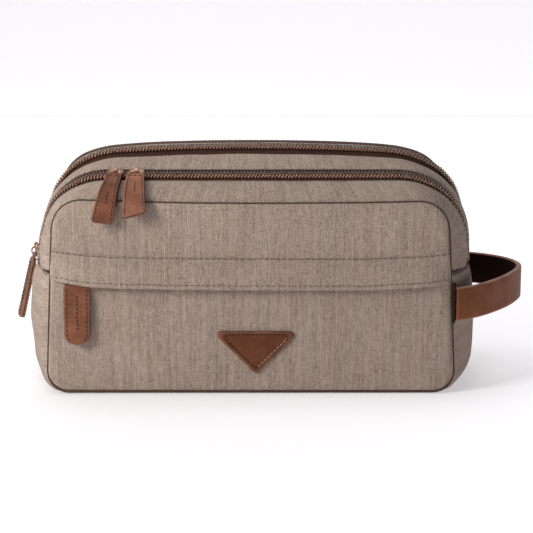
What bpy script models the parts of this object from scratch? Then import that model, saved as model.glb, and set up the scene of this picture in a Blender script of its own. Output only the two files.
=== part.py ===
"""A canvas toiletry bag with leather trim: two zipped compartments under an arched top, a zipped front pocket
behind a placket, leather zipper pulls and a side carry loop.

Frame: +X to the bag's right as seen from the front, +Y to the back, +Z up, origin at the centre of the base.
The driving dimensions and the shape functions are in millimetres; MM turns them into Blender's metres.
"""

import math

import bmesh
import bpy
from mathutils import Matrix, Vector

MM = 0.001

# ---- driving dimensions, millimetres ----
DEPTH = 106.0            # front seam to rear seam
YF = -DEPTH / 2          # plane of the front seam
SHELL = 2.2              # canvas, interlining and lining sewn as one wall
GAP = 0.3                # between touching pieces
BASE_EDGE = 1.0          # height of the bottom seams above the flat base
Z_END = 73.0             # seam between the side panels and the three arched strips
Z_ARC = 81.4             # height of the centres of the arched corners
Z_FOLD = 82.0            # line on which the upper walls fold outwards
SEAM_TOP_F, SEAM_TOP_B = 113.9, 132.4
SEAM_R_F, SEAM_R_B = 18.0, 34.5
REAR_RISE = -2.2          # the rear seam's top rises to its middle
BULGE_POWER = 2.6        # how quickly the sides round out behind the seams
PIPING_R = 0.9
FOLD_RANGE = 40.0        # degrees each upper wall folds open

# zipper strips: centre depth behind the front seam, corner centre, corner radius, cross tilt, crown of the top
ZIP_FRONT = dict(y=26.5, cx=85.0, r=44.4, tilt=22.5, start=0.0, crown=0.0)
ZIP_REAR = dict(y=60.5, cx=78.0, r=53.5, tilt=14.3, start=3.7, crown=2.5)
ZIP_HALF = 5.75          # half of the gap between the canvas edges
TEETH_HALF = 2.7
N_ARC, N_TOP = 9, 4      # segments round a corner and along half of the top

POCKET_ZIP_Z = 75.1
PLACKET_TOP, PLACKET_LOW = 81.6, 64.0
POCKET_FRONT_TOP = 68.1

STRAP_Z, STRAP_W, STRAP_T = 54.5, 19.6, 3.0

for old in list(bpy.data.objects):
    bpy.data.objects.remove(old, do_unlink=True)

PARTS = bpy.data.collections.new("shaving_kit_bag")
CUTTERS = bpy.data.collections.new("cutters")
for collection in (PARTS, CUTTERS):
    bpy.context.scene.collection.children.link(collection)


# ---------------------------------------------------------------- materials
def material(name, colour, roughness, metallic=0.0):
    made = bpy.data.materials.new(name)
    made.use_nodes = True
    shader = made.node_tree.nodes["Principled BSDF"]
    shader.inputs["Base Color"].default_value = (*colour, 1.0)
    shader.inputs["Roughness"].default_value = roughness
    shader.inputs["Metallic"].default_value = metallic
    made.diffuse_color = (*colour, 1.0)
    return made


COLOURS = {
    "canvas": ((0.31, 0.24, 0.195), 0.95, 0.0),
    "lining": ((0.09, 0.065, 0.05), 0.9, 0.0),
    "piping": ((0.075, 0.045, 0.032), 0.8, 0.0),
    "zip_tape": ((0.06, 0.035, 0.026), 0.9, 0.0),
    "zip_coil": ((0.32, 0.17, 0.11), 0.4, 0.9),
    "leather": ((0.19, 0.088, 0.055), 0.55, 0.0),
    "leather_patch": ((0.12, 0.045, 0.025), 0.55, 0.0),
    "metal": ((0.3, 0.17, 0.12), 0.35, 1.0),
    "board": ((0.05, 0.05, 0.05), 0.7, 0.0),
}


# ---------------------------------------------------------------- object helpers
def link(obj, look, parent=None, collection=PARTS):
    collection.objects.link(obj)
    if look:
        obj.data.materials.append(material(obj.name, *COLOURS[look]))
    if parent is not None:
        obj.parent = parent
        obj.matrix_parent_inverse = parent.matrix_world.inverted()
    return obj


def axis_empty(name, place, parent=None):
    """An empty on a joint's axis, which carries the pieces that turn or slide with it."""
    empty = bpy.data.objects.new(name, None)
    empty.empty_display_size = 0.01
    PARTS.objects.link(empty)
    if parent is not None:
        empty.parent = parent
        empty.matrix_parent_inverse = parent.matrix_world.inverted()
    empty.matrix_world = Matrix.Translation(Vector(place) * MM)
    bpy.context.view_layer.update()
    return empty


def mesh_of(bm, name, smooth=True):
    mesh = bpy.data.meshes.new(name)
    bm.to_mesh(mesh)
    bm.free()
    if smooth:
        mesh.shade_smooth()
        mesh.set_sharp_from_angle(angle=math.radians(35))
    return mesh


def shell(name, rows, thickness, look, parent=None, caps=False, inside=(0, 0, 60)):
    """An open surface through rows of points, outward side out, thickened inwards with Solidify."""
    bm = bmesh.new()
    made = [[bm.verts.new(Vector(p) * MM) for p in row] for row in rows]
    for a, b in zip(made, made[1:]):
        for i in range(len(a) - 1):
            bm.faces.new((a[i], a[i + 1], b[i + 1], b[i]))
    if caps:
        bm.faces.new(made[0])
        bm.faces.new(made[-1])
    bmesh.ops.recalc_face_normals(bm, faces=bm.faces)
    middle = Vector(inside) * MM
    facing = sum(
        f.normal.dot(f.calc_center_median() - middle) * f.calc_area() for f in bm.faces
    )
    if facing < 0:
        bmesh.ops.reverse_faces(bm, faces=bm.faces)
    obj = bpy.data.objects.new(name, mesh_of(bm, name))
    link(obj, look, parent)
    solid = obj.modifiers.new("wall", "SOLIDIFY")
    solid.thickness = thickness * MM
    solid.offset = -1.0
    solid.use_even_offset = True
    return obj


def loft(name, loops, look, parent=None, collection=PARTS, smooth=True, place=None):
    """A closed solid through equal loops of points, with flat ends. place is the object's own matrix, in metres."""
    bm = bmesh.new()
    made = [[bm.verts.new(Vector(p) * MM) for p in loop] for loop in loops]
    count = len(made[0])
    for a, b in zip(made, made[1:]):
        for i in range(count):
            j = (i + 1) % count
            bm.faces.new((a[i], a[j], b[j], b[i]))
    bm.faces.new(made[0])
    bm.faces.new(made[-1])
    bmesh.ops.recalc_face_normals(bm, faces=bm.faces)
    obj = bpy.data.objects.new(name, mesh_of(bm, name, smooth))
    link(obj, look, parent, collection)
    if place is not None:
        obj.matrix_world = place
    return obj


def prism(name, outline, y0, y1, look, parent=None, **more):
    """An outline of (x, z) points pulled straight from depth y0 to y1."""
    return loft(
        name,
        [[(x, y0, z) for x, z in outline], [(x, y1, z) for x, z in outline]],
        look,
        parent,
        smooth=False,
        **more,
    )


def union(obj, other):
    other.hide_render = True
    other.display_type = "WIRE"
    boolean = obj.modifiers.new("join", "BOOLEAN")
    boolean.operation = "UNION"
    boolean.solver = "EXACT"
    boolean.object = other


def cut(obj, other):
    other.hide_render = True
    other.display_type = "WIRE"
    boolean = obj.modifiers.new("cut", "BOOLEAN")
    boolean.operation = "DIFFERENCE"
    boolean.solver = "EXACT"
    boolean.object = other


# ---------------------------------------------------------------- the bag's form
def between(x, table):
    """Straight-line interpolation in a table of (x, value)."""
    if x <= table[0][0]:
        return table[0][1]
    for (x0, v0), (x1, v1) in zip(table, table[1:]):
        if x <= x1:
            return v0 + (v1 - v0) * (x - x0) / (x1 - x0)
    return table[-1][1]


def whole(half):
    """A half outline from the right end to the centre, made whole: left end, over the centre, right end."""
    return [(-x, z) for x, z in half] + [(x, z) for x, z in reversed(half[:-1])]


def at_depth(outline, depth):
    return [(x, YF + depth, z) for x, z in outline]


def seam_half(top, radius, sag, inset=0.0, low=Z_ARC):
    """The arched part of a panel's seam, from its side at height low to its top centre."""
    width = 115.0 + (0.6 if radius > 20 else 0.0)
    cx, cz = width - radius, top - radius
    points = [
        (width + (0.9 - 0.9 * k / 2) - inset, low + (cz - low) * k / 2)
        for k in range(3)
    ]
    for k in range(1, N_ARC - 1):
        a = math.radians(90 * (1 - k / (N_ARC - 2)))
        points.append(
            (cx + (radius - inset) * math.sin(a), cz + (radius - inset) * math.cos(a))
        )
    for k in range(1, N_TOP + 1):
        x = cx * (1 - k / N_TOP)
        points.append((x, top - inset - sag * (1 - (x / cx) ** 2)))
    return points


def zip_half(strip, across, height):
    """A line along a zipper strip, across mm behind its centre and height mm above its surface: (half outline, depth)."""
    tilt = math.radians(strip["tilt"])
    r = strip["r"] + across * math.sin(tilt) + height * math.cos(tilt)
    depth = strip["y"] + across * math.cos(tilt) - height * math.sin(tilt)
    start = math.radians(strip["start"])
    points = []
    for k in range(N_ARC + 1):
        a = math.pi / 2 + (start - math.pi / 2) * k / N_ARC
        points.append((strip["cx"] + r * math.sin(a), Z_ARC + r * math.cos(a)))
    xt, zt = points[-1]
    for k in range(1, N_TOP + 1):
        x = xt * (1 - k / N_TOP)
        points.append((x, zt + strip["crown"] * (1 - (x / xt) ** 2)))
    return points, depth


def zip_line(strip, across, height=0.0):
    half, depth = zip_half(strip, across, height)
    return at_depth(whole(half), depth)


def outwards(point):
    """Unit direction away from the bag's middle, across its arch."""
    x, z = point[0], point[2]
    dx = x - max(-80.0, min(80.0, x))
    dz = max(z - Z_ARC, 0.0) if abs(x) > 80 else 1.0
    length = math.hypot(dx, dz) or 1.0
    return dx / length, dz / length


def panel_rows(first, last, steps, crown):
    """Rows of points from one line to another, bowed outwards by crown at the middle."""
    rows = []
    for u in steps:
        row = []
        for a, b in zip(first, last):
            p = [a[i] + (b[i] - a[i]) * u for i in range(3)]
            ox, oz = outwards(p)
            lift = 4 * u * (1 - u) * crown
            row.append((p[0] + ox * lift, p[1], p[2] + oz * lift))
        rows.append(row)
    return rows


def bulge(depth):
    return 1 - abs(2 * depth / DEPTH - 1) ** BULGE_POWER


def side_x(depth, z):
    """Half width of the lower body at a depth and height."""
    seam = 119.3 - 0.05 * max(z - 12, 0)
    out = between(z, [(4, 12.4), (10, 13.4), (20, 15.4), (40, 17.0), (60, 16.6), (73, 15.2)])
    return seam + out * bulge(depth)


def lower_half(depth, top=Z_END - 0.1, inset=0.0, floor=None):
    """Half outline of the lower body, from the side's top edge round the bottom corner to the centre of the base."""
    b = bulge(depth)
    z0 = BASE_EDGE if min(depth, DEPTH - depth) < 5 else 0.0
    if floor is not None:
        z0 = floor
    rx, rz = 12 + 14 * b, 12 + 9 * b
    zc = z0 + rz
    xc = side_x(depth, zc) - inset
    points = [(side_x(depth, z) - inset, z) for z in (top, (top + 43) / 2, 43.0)]
    for k in range(6):
        a = math.pi / 2 * k / 5
        points.append((xc - rx * (1 - math.cos(a)), zc - rz * math.sin(a)))
    for k in range(1, 4):
        points.append((points[8][0] * (1 - k / 3), z0))
    return points


def under(half):
    """A lower half outline made whole: left top, under the base, right top."""
    return [(-x, z) for x, z in half] + [(x, z) for x, z in reversed(half[:-1])]


def panel_low(top, inset):
    """Closed outline of a flat front or rear panel up to a straight top edge."""
    half = []
    for k in range(4):
        z = top + (15.0 - top) * k / 3
        half.append((119.3 - 0.05 * max(z - 12, 0) - inset, z))
    r = 13.0 - inset
    for k in range(1, 6):
        a = math.pi / 2 * k / 5
        half.append((106.2 + r * math.cos(a), BASE_EDGE + 13.0 - r * math.sin(a)))
    return half + [(-x, z) for x, z in reversed(half)]


def panel_high(low, top, radius, sag, inset):
    """Closed outline of a flat panel from a straight low edge to its arched top."""
    half = seam_half(top, radius, sag, inset, low)
    full = whole(half)
    return full


# ---------------------------------------------------------------- joints' axes
front_axis = axis_empty("front_flap_axis", (0, YF - 3.1, Z_FOLD))
rear_axis = axis_empty("rear_flap_axis", (0, -YF + 3.1, Z_FOLD))
placket_axis = axis_empty("pocket_flap_axis", (0, YF - 1.7, PLACKET_TOP))
strap_axis = axis_empty("strap_axis", (122.2, 0, STRAP_Z))

# ---------------------------------------------------------------- lower body
depths = (1.5, 9, 21, 37, 53, 69, 85, 97, DEPTH - 1.5)
shell(
    "lower_gusset",
    [at_depth(under(lower_half(d)), d) for d in depths],
    SHELL,
    "canvas",
    inside=(0, 0, 50),
)

END_X = [(0, 116.0), (21.2, 127.2), (31.8, 131.4), (43, 132.2), (55, 130.3), (66, 132.7), (78, 132.0), (90, 127.6), (99, 121.4), (106, 116.0)]
for side, name in ((-1, "gusset_end_left"), (1, "gusset_end_right")):
    along = (1.5, 9, 21.2, 31.8, 43, 55, 66, 78, 90, 98, DEPTH - 1.5)
    shell(
        name,
        [
            [(side * side_x(d, Z_END + 0.2), YF + d, Z_END + 0.2) for d in along],
            [(side * between(d, END_X), YF + d, Z_ARC - 0.9) for d in along],
        ],
        SHELL,
        "canvas",
    )

# the front wall below the fold: the pocket's front and, behind it, the wall of the compartment
prism("pocket_front", panel_low(POCKET_FRONT_TOP, 1.6), YF - 1.5, YF + 0.5, "canvas")
prism("front_wall", panel_low(PLACKET_TOP + 0.2, 3.1), YF + 1.8, YF + 3.3, "lining")
prism("rear_panel_lower", panel_low(PLACKET_TOP + 0.2, 1.6), -YF - 0.5, -YF + 1.5, "canvas")

# ---------------------------------------------------------------- arched strips
front_seam = whole(seam_half(SEAM_TOP_F, SEAM_R_F, 1.5))
rear_seam = whole(seam_half(SEAM_TOP_B, SEAM_R_B, REAR_RISE))
edge = ZIP_HALF + 0.05
front_gusset = shell(
    "front_gusset",
    panel_rows(at_depth(front_seam, 1.5), zip_line(ZIP_FRONT, -edge), (0, 0.5, 1), 1.2),
    SHELL,
    "canvas",
    front_axis,
)
shell(
    "middle_gusset",
    panel_rows(zip_line(ZIP_FRONT, edge), zip_line(ZIP_REAR, -edge), (0, 0.5, 1), 0.9),
    SHELL,
    "canvas",
)
shell(
    "rear_gusset",
    panel_rows(zip_line(ZIP_REAR, edge), at_depth(rear_seam, DEPTH - 1.5), (0, 0.3, 0.62, 1), 1.6),
    SHELL,
    "canvas",
    rear_axis,
)
prism(
    "front_panel_upper",
    panel_high(Z_FOLD + 0.35, SEAM_TOP_F, SEAM_R_F, 1.5, 1.6),
    YF - 1.5,
    YF + 0.5,
    "canvas",
    front_axis,
)
prism(
    "rear_panel_upper",
    panel_high(Z_FOLD + 0.35, SEAM_TOP_B, SEAM_R_B, REAR_RISE, 1.6),
    -YF - 0.5,
    -YF + 1.5,
    "canvas",
    rear_axis,
)


# ---------------------------------------------------------------- zippers
def bar(name, strip, section, look, parent=None):
    """A bar of constant section, of (across, height) corners, that runs the whole length of a zipper strip."""
    lines = [zip_line(strip, u, h) for u, h in section]
    return loft(name, list(zip(*lines)), look, parent)


def half_section(side, u0, u1, h0, h1):
    return [(side * u0, h0), (side * u1, h0), (side * u1, h1), (side * u0, h1)]


for strip, where, flap_side, flap_axis in (
    (ZIP_FRONT, "front_zip", -1, front_axis),
    (ZIP_REAR, "rear_zip", 1, rear_axis),
):
    for side, end in ((-1, "front"), (1, "rear")):
        carrier = flap_axis if side == flap_side else None
        bar(
            f"{where}_tape_{end}",
            strip,
            half_section(side, 0.2, ZIP_HALF - 1.5, -1.9, -1.1),
            "zip_tape",
            carrier,
        )
        bar(
            f"{where}_teeth_{end}",
            strip,
            half_section(side, 0.2, TEETH_HALF, -0.75, 0.8),
            "zip_coil",
            carrier,
        )

# the pocket's zipper lies flat under the placket
for name, z0, z1, y0, y1, look in (
    ("pocket_zip_tape_upper", POCKET_ZIP_Z + 0.2, PLACKET_TOP - 0.6, 0.7, 1.4, "zip_tape"),
    ("pocket_zip_tape_lower", POCKET_FRONT_TOP + 0.3, POCKET_ZIP_Z - 0.2, 0.7, 1.4, "zip_tape"),
    ("pocket_zip_teeth", POCKET_ZIP_Z - 2.5, POCKET_ZIP_Z + 2.5, -0.9, 0.4, "zip_coil"),
):
    prism(
        name,
        [(-111, z0), (111, z0), (111, z1), (-111, z1)],
        YF + y0,
        YF + y1,
        look,
    )


# ---------------------------------------------------------------- piping in the seams
def piping(name, line, depth, parent=None):
    """A round cord sewn into a seam, along a line of (x, z) points."""
    loops = []
    for i, (x, z) in enumerate(line):
        a, b = line[max(i - 1, 0)], line[min(i + 1, len(line) - 1)]
        tx, tz = b[0] - a[0], b[1] - a[1]
        length = math.hypot(tx, tz)
        nx, nz = -tz / length, tx / length
        loop = []
        for k in range(6):
            w = math.pi * 2 * k / 6 + math.pi / 6
            s, c = math.sin(w) * PIPING_R, math.cos(w) * PIPING_R
            loop.append((x + nx * s, YF + depth + c, z + nz * s))
        loops.append(loop)
    return loft(name, loops, "piping", parent)


def seam_low(inset):
    """Open line of a lower seam, from left to right under the base."""
    outline = panel_low(PLACKET_TOP - 0.3, inset)
    return [(-x, z) for x, z in outline[: len(outline) // 2]] + [
        p for p in reversed(outline[: len(outline) // 2])
    ]


piping("front_piping_lower", seam_low(0.35), 0.0)
piping("rear_piping_lower", seam_low(0.35), DEPTH)
piping(
    "front_piping_upper",
    whole(seam_half(SEAM_TOP_F, SEAM_R_F, 1.5, 0.35, Z_FOLD + 0.35)),
    0.0,
    front_axis,
)
piping(
    "rear_piping_upper",
    whole(seam_half(SEAM_TOP_B, SEAM_R_B, REAR_RISE, 0.35, Z_FOLD + 0.35)),
    DEPTH,
    rear_axis,
)

# ---------------------------------------------------------------- inside
BOARD_Z = SHELL + 0.4
prism(
    "base_board",
    [(-101, BOARD_Z), (101, BOARD_Z), (101, BOARD_Z + 1.4), (-101, BOARD_Z + 1.4)],
    YF + 9,
    -YF - 9,
    "board",
)
INNER_FLOOR = BOARD_Z + 1.4 + GAP
DIVIDER = 44.0           # depth of the wall between the compartments


def lining(name, first, last):
    """The loose lining of one compartment: a pouch open at the top."""
    steps = [first + (last - first) * k / 3 for k in range(4)]
    rows = []
    for d in steps:
        half = lower_half(d, Z_END - 1.5, SHELL + 0.8, INNER_FLOOR)
        rows.append(at_depth(under(half), d))
    return shell(name, rows, 0.6, "lining", caps=True, inside=(0, YF + (first + last) / 2, 40))


lining("front_lining", 4.4, DIVIDER - 1.2)
lining("rear_lining", DIVIDER + 1.2, DEPTH - 1.6)

low = lower_half(DIVIDER, Z_END - 1.5, SHELL + 1.2, INNER_FLOOR)
arch = [
    (max(x - SHELL - 2.2, 0), z - SHELL - 2.4)
    for x, z in seam_half(128.3, 44.0, 0.0)
]
arch = [(x * 1.128 if x else 0.0, z) for x, z in arch]
right = list(reversed(arch)) + low
prism(
    "compartment_divider",
    right[:-1] + [(0.0, INNER_FLOOR)] + [(-x, z) for x, z in reversed(right[1:-1])],
    YF + DIVIDER - 0.6,
    YF + DIVIDER + 0.6,
    "lining",
)


# ---------------------------------------------------------------- placket over the pocket's zipper
def placket_loop(x):
    """The placket's section at x, sewn down along its top edge and standing off its zipper below."""
    inner = ((0.0, 1.8), (2.5, 3.3), (5.5, 4.5), (10.5, 4.8), (14.5, 4.8), (17.6, 4.6))
    ends = between(abs(x), [(0, 0.0), (95, 0.6), (113.3, 2.6)])
    front, back = [], []
    for fall, out in inner:
        raised = PLACKET_TOP - fall + ends * fall / (PLACKET_TOP - PLACKET_LOW)
        front.append((x, YF - out - 1.2, raised))
        back.append((x, YF - out, raised))
    return front + list(reversed(back))


loft(
    "pocket_flap",
    [placket_loop(x) for x in (-113.3, -104, -60, 0, 60, 104, 113.3)],
    "canvas",
    placket_axis,
)


# ---------------------------------------------------------------- sliders and pulls
def slider(name, place, along, parent):
    """A slider: a channel over the teeth with a bail for the pull, which crosses the chain or runs along it."""
    channel = [(-3.8, 0.1), (-3.8, 2.1), (3.8, 2.1), (3.8, 0.1), (3.25, 0.1), (3.25, 1.3), (-3.25, 1.3), (-3.25, 0.1)]
    body = loft(
        name,
        [[(x, u, h) for u, h in channel] for x in (-4.6, 4.6)],
        "metal",
        parent,
        smooth=False,
        place=place,
    )
    arch_line = [(-2.0, 1.9), (-2.0, 4.5), (2.0, 4.5), (2.0, 1.9), (1.2, 1.9), (1.2, 3.7), (-1.2, 3.7), (-1.2, 1.9)]
    if along:
        loops = [[(v - 1.6, w, h) for v, h in arch_line] for w in (-1.1, 1.1)]
    else:
        loops = [[(w, v - 1.6, h) for v, h in arch_line] for w in (-1.1, 1.1)]
    bail = loft(name + "_bail", loops, None, None, CUTTERS, False, place)
    union(body, bail)
    return body


def frame_matrix(origin, x_axis, y_axis, z_axis):
    m = Matrix((x_axis, y_axis, z_axis)).transposed().to_4x4()
    m.translation = Vector(origin) * MM
    return m


def rounded(points, radii, steps=3):
    """A closed outline with its corners rounded to the given radii."""
    made = []
    for i, p in enumerate(points):
        p, a, b = Vector(p), Vector(points[i - 1]), Vector(points[(i + 1) % len(points)])
        if radii[i] <= 0:
            made.append(tuple(p))
            continue
        da, db = (a - p).normalized(), (b - p).normalized()
        half_angle = da.angle(db) / 2
        away = radii[i] / math.tan(half_angle)
        start, end = p + da * away, p + db * away
        for k in range(steps + 1):
            t = k / steps
            made.append(tuple(start * (1 - t) ** 2 + p * 2 * t * (1 - t) + end * t**2))
    return made


def pull(name, place, top_w, low_w, start, length, thick, ring_len, parent, corner=2.2):
    """A leather pull folded round a wire ring. Local -Z runs down the pull and local Y through it, from the ring's top bar."""
    outline = rounded(
        [(-top_w / 2, -start), (-low_w / 2, -start - length), (low_w / 2, -start - length), (top_w / 2, -start)],
        [0.8, corner, corner, 0.8],
    )
    leather = loft(
        name,
        [[(x, y, z) for x, z in outline] for y in (-thick / 2, thick / 2)],
        "leather",
        parent,
        smooth=False,
        place=place,
    )
    deep = ring_len + 0.9
    wide = 4.0
    pocket = loft(
        name + "_slot",
        [[(x, y, z) for x, z in ((-wide, -start + 1), (-wide, -deep), (wide, -deep), (wide, -start + 1))] for y in (-0.8, 0.8)],
        None,
        None,
        CUTTERS,
        False,
        place,
    )
    cut(leather, pocket)
    ring = bpy.data.curves.new(name.replace("pull", "ring"), "CURVE")
    ring.dimensions = "3D"
    ring.bevel_depth = 0.5 * MM
    ring.bevel_resolution = 1
    spline = ring.splines.new("POLY")
    line = rounded([(-3.3, 0.0), (-3.3, -ring_len), (3.3, -ring_len), (3.3, 0.0)], [0.9] * 4, 2)
    spline.points.add(len(line) - 1)
    for point, (x, z) in zip(spline.points, line):
        point.co = (x * MM, 0.0, z * MM, 1.0)
    spline.use_cyclic_u = True
    wire = bpy.data.objects.new(name.replace("pull", "ring"), ring)
    link(wire, "metal", parent)
    wire.matrix_world = place
    return leather


tilt = math.radians(ZIP_FRONT["tilt"])
across = Vector((0, math.cos(tilt), math.sin(tilt)))
above = Vector((0, -math.sin(tilt), math.cos(tilt)))
top_of_front = Vector((0, YF + ZIP_FRONT["y"], Z_ARC + ZIP_FRONT["r"]))
LEANS = (17.6, 25.0)      # degrees below the horizontal at which the two pulls rest on the front seam
SLIDER_LEFT, SLIDER_RIGHT = -82.0, -68.0
for name, x, swing, lean in (
    ("left", SLIDER_LEFT, 5.0, math.radians(LEANS[0])),
    ("right", SLIDER_RIGHT, -2.4, math.radians(LEANS[1])),
):
    centre = top_of_front + Vector((x, 0, 0))
    slider(
        f"front_slider_{name}",
        frame_matrix(centre, (1, 0, 0), across, above),
        False,
        front_axis,
    )
    hinge = centre - across * 1.6 + above * 2.9
    down = Vector((0, -math.cos(lean), -math.sin(lean)))
    z_axis = -down
    y_axis = z_axis.cross(Vector((1, 0, 0)))
    place = frame_matrix(hinge, (1, 0, 0), y_axis, z_axis) @ Matrix.Rotation(
        math.radians(swing), 4, "Y"
    )
    pull(f"front_pull_{name}", place, 9.7, 13.0, 3.2, 38.5, 2.8, 6.4, front_axis)

# the rear compartment's slider stands at the end of its zipper on the left side
PARKED = 97.2               # degrees round the left corner from the top
tilt = math.radians(ZIP_REAR["tilt"])
turn = Matrix.Rotation(math.radians(-PARKED), 3, "Y")
across = turn @ Vector((0, math.cos(tilt), math.sin(tilt)))
above = turn @ Vector((0, -math.sin(tilt), math.cos(tilt)))
chain = turn @ Vector((1, 0, 0))
centre = Vector((-ZIP_REAR["cx"], YF + ZIP_REAR["y"], Z_ARC)) + turn @ Vector(
    (0, 0, ZIP_REAR["r"] + 2.6)
)
slider("rear_slider", frame_matrix(centre, chain, across, above), True, rear_axis)
hinge = centre - chain * 1.6 + above * 2.9
out = math.radians(20.7)
down = -chain * math.cos(out) + above * math.sin(out)
x_axis = -across
z_axis = -down
y_axis = z_axis.cross(x_axis)
pull(
    "rear_pull",
    frame_matrix(hinge, x_axis, y_axis, z_axis),
    9.7,
    13.0,
    3.2,
    37.0,
    2.8,
    6.4,
    rear_axis,
)
REAR_HINGE = hinge

# the pocket's slider, with a wider tab that hangs out below the placket
POCKET_X = -100.8
centre = Vector((POCKET_X, YF + 0.2, POCKET_ZIP_Z))
slider(
    "pocket_slider",
    frame_matrix(centre, (1, 0, 0), (0, 0, 1), (0, -1, 0)),
    False,
    None,
)
hinge = centre + Vector((0, -2.9, -1.6))
place = frame_matrix(hinge, (1, 0, 0), (0, 1, 0), (0, 0, 1)) @ Matrix.Rotation(
    math.radians(-3.5), 4, "X"
)
pull("pocket_pull", place, 15.2, 15.2, 7.2, 34.0, 2.2, 9.8, None, 6.0)

# ---------------------------------------------------------------- leather patch
patch = rounded([(-21.0, 38.1), (2.7, 13.1), (26.4, 38.1)], [2.6, 2.0, 2.6])
prism("triangle_patch", patch, YF - 3.4, YF - 1.8, "leather_patch")


# ---------------------------------------------------------------- side loop
def smooth_line(points, steps):
    """A Catmull-Rom curve through the points."""
    made = []
    ends = [points[0]] + list(points) + [points[-1]]
    for i in range(1, len(ends) - 2):
        p0, p1, p2, p3 = (Vector(ends[i + k]) for k in (-1, 0, 1, 2))
        for k in range(steps):
            t = k / steps
            made.append(
                0.5
                * (
                    2 * p1
                    + (p2 - p0) * t
                    + (2 * p0 - 5 * p1 + 4 * p2 - p3) * t**2
                    + (3 * p1 - p0 - 3 * p2 + p3) * t**3
                )
            )
    made.append(Vector(points[-1]))
    return made


LOOP = ((122.2, -52.9), (130.5, -47.6), (141.5, -35.5), (152.5, -19.5), (161.0, -2.0), (164.8, 13.0), (161.5, 28.0), (151.0, 41.5), (136.5, 49.8), (122.2, 53.2))
line = smooth_line(LOOP, 3)
loops = []
for i, p in enumerate(line):
    t = (line[min(i + 1, len(line) - 1)] - line[max(i - 1, 0)]).normalized()
    n = Vector((t.y, -t.x)) * STRAP_T / 2
    low_z, high_z = STRAP_Z - STRAP_W / 2, STRAP_Z + STRAP_W / 2
    loops.append(
        [
            (p.x + n.x, p.y + n.y, low_z),
            (p.x + n.x, p.y + n.y, high_z),
            (p.x - n.x, p.y - n.y, high_z),
            (p.x - n.x, p.y - n.y, low_z),
        ]
    )
loft("strap", loops, "leather", strap_axis)
for name, side in (("strap_tab_front", 1), ("strap_tab_rear", -1)):
    y0, y1 = sorted((side * (YF - 2.2), side * (YF + 1.1)))
    low_z, high_z = STRAP_Z - 10.2, STRAP_Z + 10.2
    prism(
        name,
        [(118.9, low_z), (120.2, low_z), (120.2, high_z), (118.9, high_z)],
        y0,
        y1,
        "canvas",
    )
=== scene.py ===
"""Looks for the canvas toiletry bag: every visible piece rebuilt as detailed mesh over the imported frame.

Shapes are worked out in millimetres in the frame's axes and turned into metres when a mesh is made.
"""

import math

import bmesh
import bpy
import numpy as np
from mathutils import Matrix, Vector, noise


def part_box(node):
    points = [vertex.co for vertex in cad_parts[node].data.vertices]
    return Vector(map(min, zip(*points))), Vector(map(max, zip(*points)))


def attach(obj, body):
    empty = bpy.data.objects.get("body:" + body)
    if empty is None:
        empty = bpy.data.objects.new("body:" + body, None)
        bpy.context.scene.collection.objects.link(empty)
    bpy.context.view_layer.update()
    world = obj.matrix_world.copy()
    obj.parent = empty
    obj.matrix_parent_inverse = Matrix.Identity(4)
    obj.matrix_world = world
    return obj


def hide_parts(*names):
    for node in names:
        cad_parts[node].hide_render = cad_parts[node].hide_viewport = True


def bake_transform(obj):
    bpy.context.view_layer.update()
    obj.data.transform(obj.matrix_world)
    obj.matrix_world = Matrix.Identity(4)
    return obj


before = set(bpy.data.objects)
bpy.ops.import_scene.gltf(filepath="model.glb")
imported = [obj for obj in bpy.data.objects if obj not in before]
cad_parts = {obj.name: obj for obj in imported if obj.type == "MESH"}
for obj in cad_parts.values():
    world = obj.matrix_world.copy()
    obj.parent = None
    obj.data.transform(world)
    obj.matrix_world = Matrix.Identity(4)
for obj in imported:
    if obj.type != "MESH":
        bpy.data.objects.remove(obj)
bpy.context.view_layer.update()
scene = bpy.context.scene

DEPTH = 106.0
YF = -DEPTH / 2
Z_END, Z_ARC, Z_FOLD = 73.0, 81.4, 82.0
ZIP_FRONT = dict(y=26.5, cx=85.0, r=44.4, tilt=22.5, start=0.0, crown=0.0)
ZIP_REAR = dict(y=60.5, cx=78.0, r=53.5, tilt=14.3, start=3.7, crown=2.5)
NS, NA, NT = 6, 46, 52          # columns up the side, round the corner and along half of the top


# ---------------------------------------------------------------- small maths
def smooth(x, a, b):
    t = np.clip((np.asarray(x, float) - a) / (b - a), 0, 1)
    return t * t * (3 - 2 * t)


def table(x, rows):
    return np.interp(x, [r[0] for r in rows], [r[1] for r in rows])


def unit(v):
    return v / np.maximum(np.linalg.norm(v, axis=-1, keepdims=True), 1e-12)


def resample(points, n=None, step=None):
    """Points spaced evenly by length along a polyline."""
    points = np.asarray(points, float)
    s = np.concatenate([[0], np.cumsum(np.linalg.norm(np.diff(points, axis=0), axis=1))])
    if n is None:
        n = max(int(round(s[-1] / step)) + 1, 2)
    t = np.linspace(0, s[-1], n)
    return np.stack([np.interp(t, s, points[:, k]) for k in range(points.shape[1])], 1)


def catmull(points, steps):
    p = [np.asarray(q, float) for q in points]
    p = [2 * p[0] - p[1]] + p + [2 * p[-1] - p[-2]]
    made = []
    for i in range(1, len(p) - 2):
        for k in range(steps):
            t = k / steps
            made.append(0.5 * (2 * p[i] + (p[i + 1] - p[i - 1]) * t
                               + (2 * p[i - 1] - 5 * p[i] + 4 * p[i + 1] - p[i + 2]) * t**2
                               + (3 * p[i] - p[i - 1] - 3 * p[i + 1] + p[i + 2]) * t**3))
    made.append(p[-2])
    return np.array(made)


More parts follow.
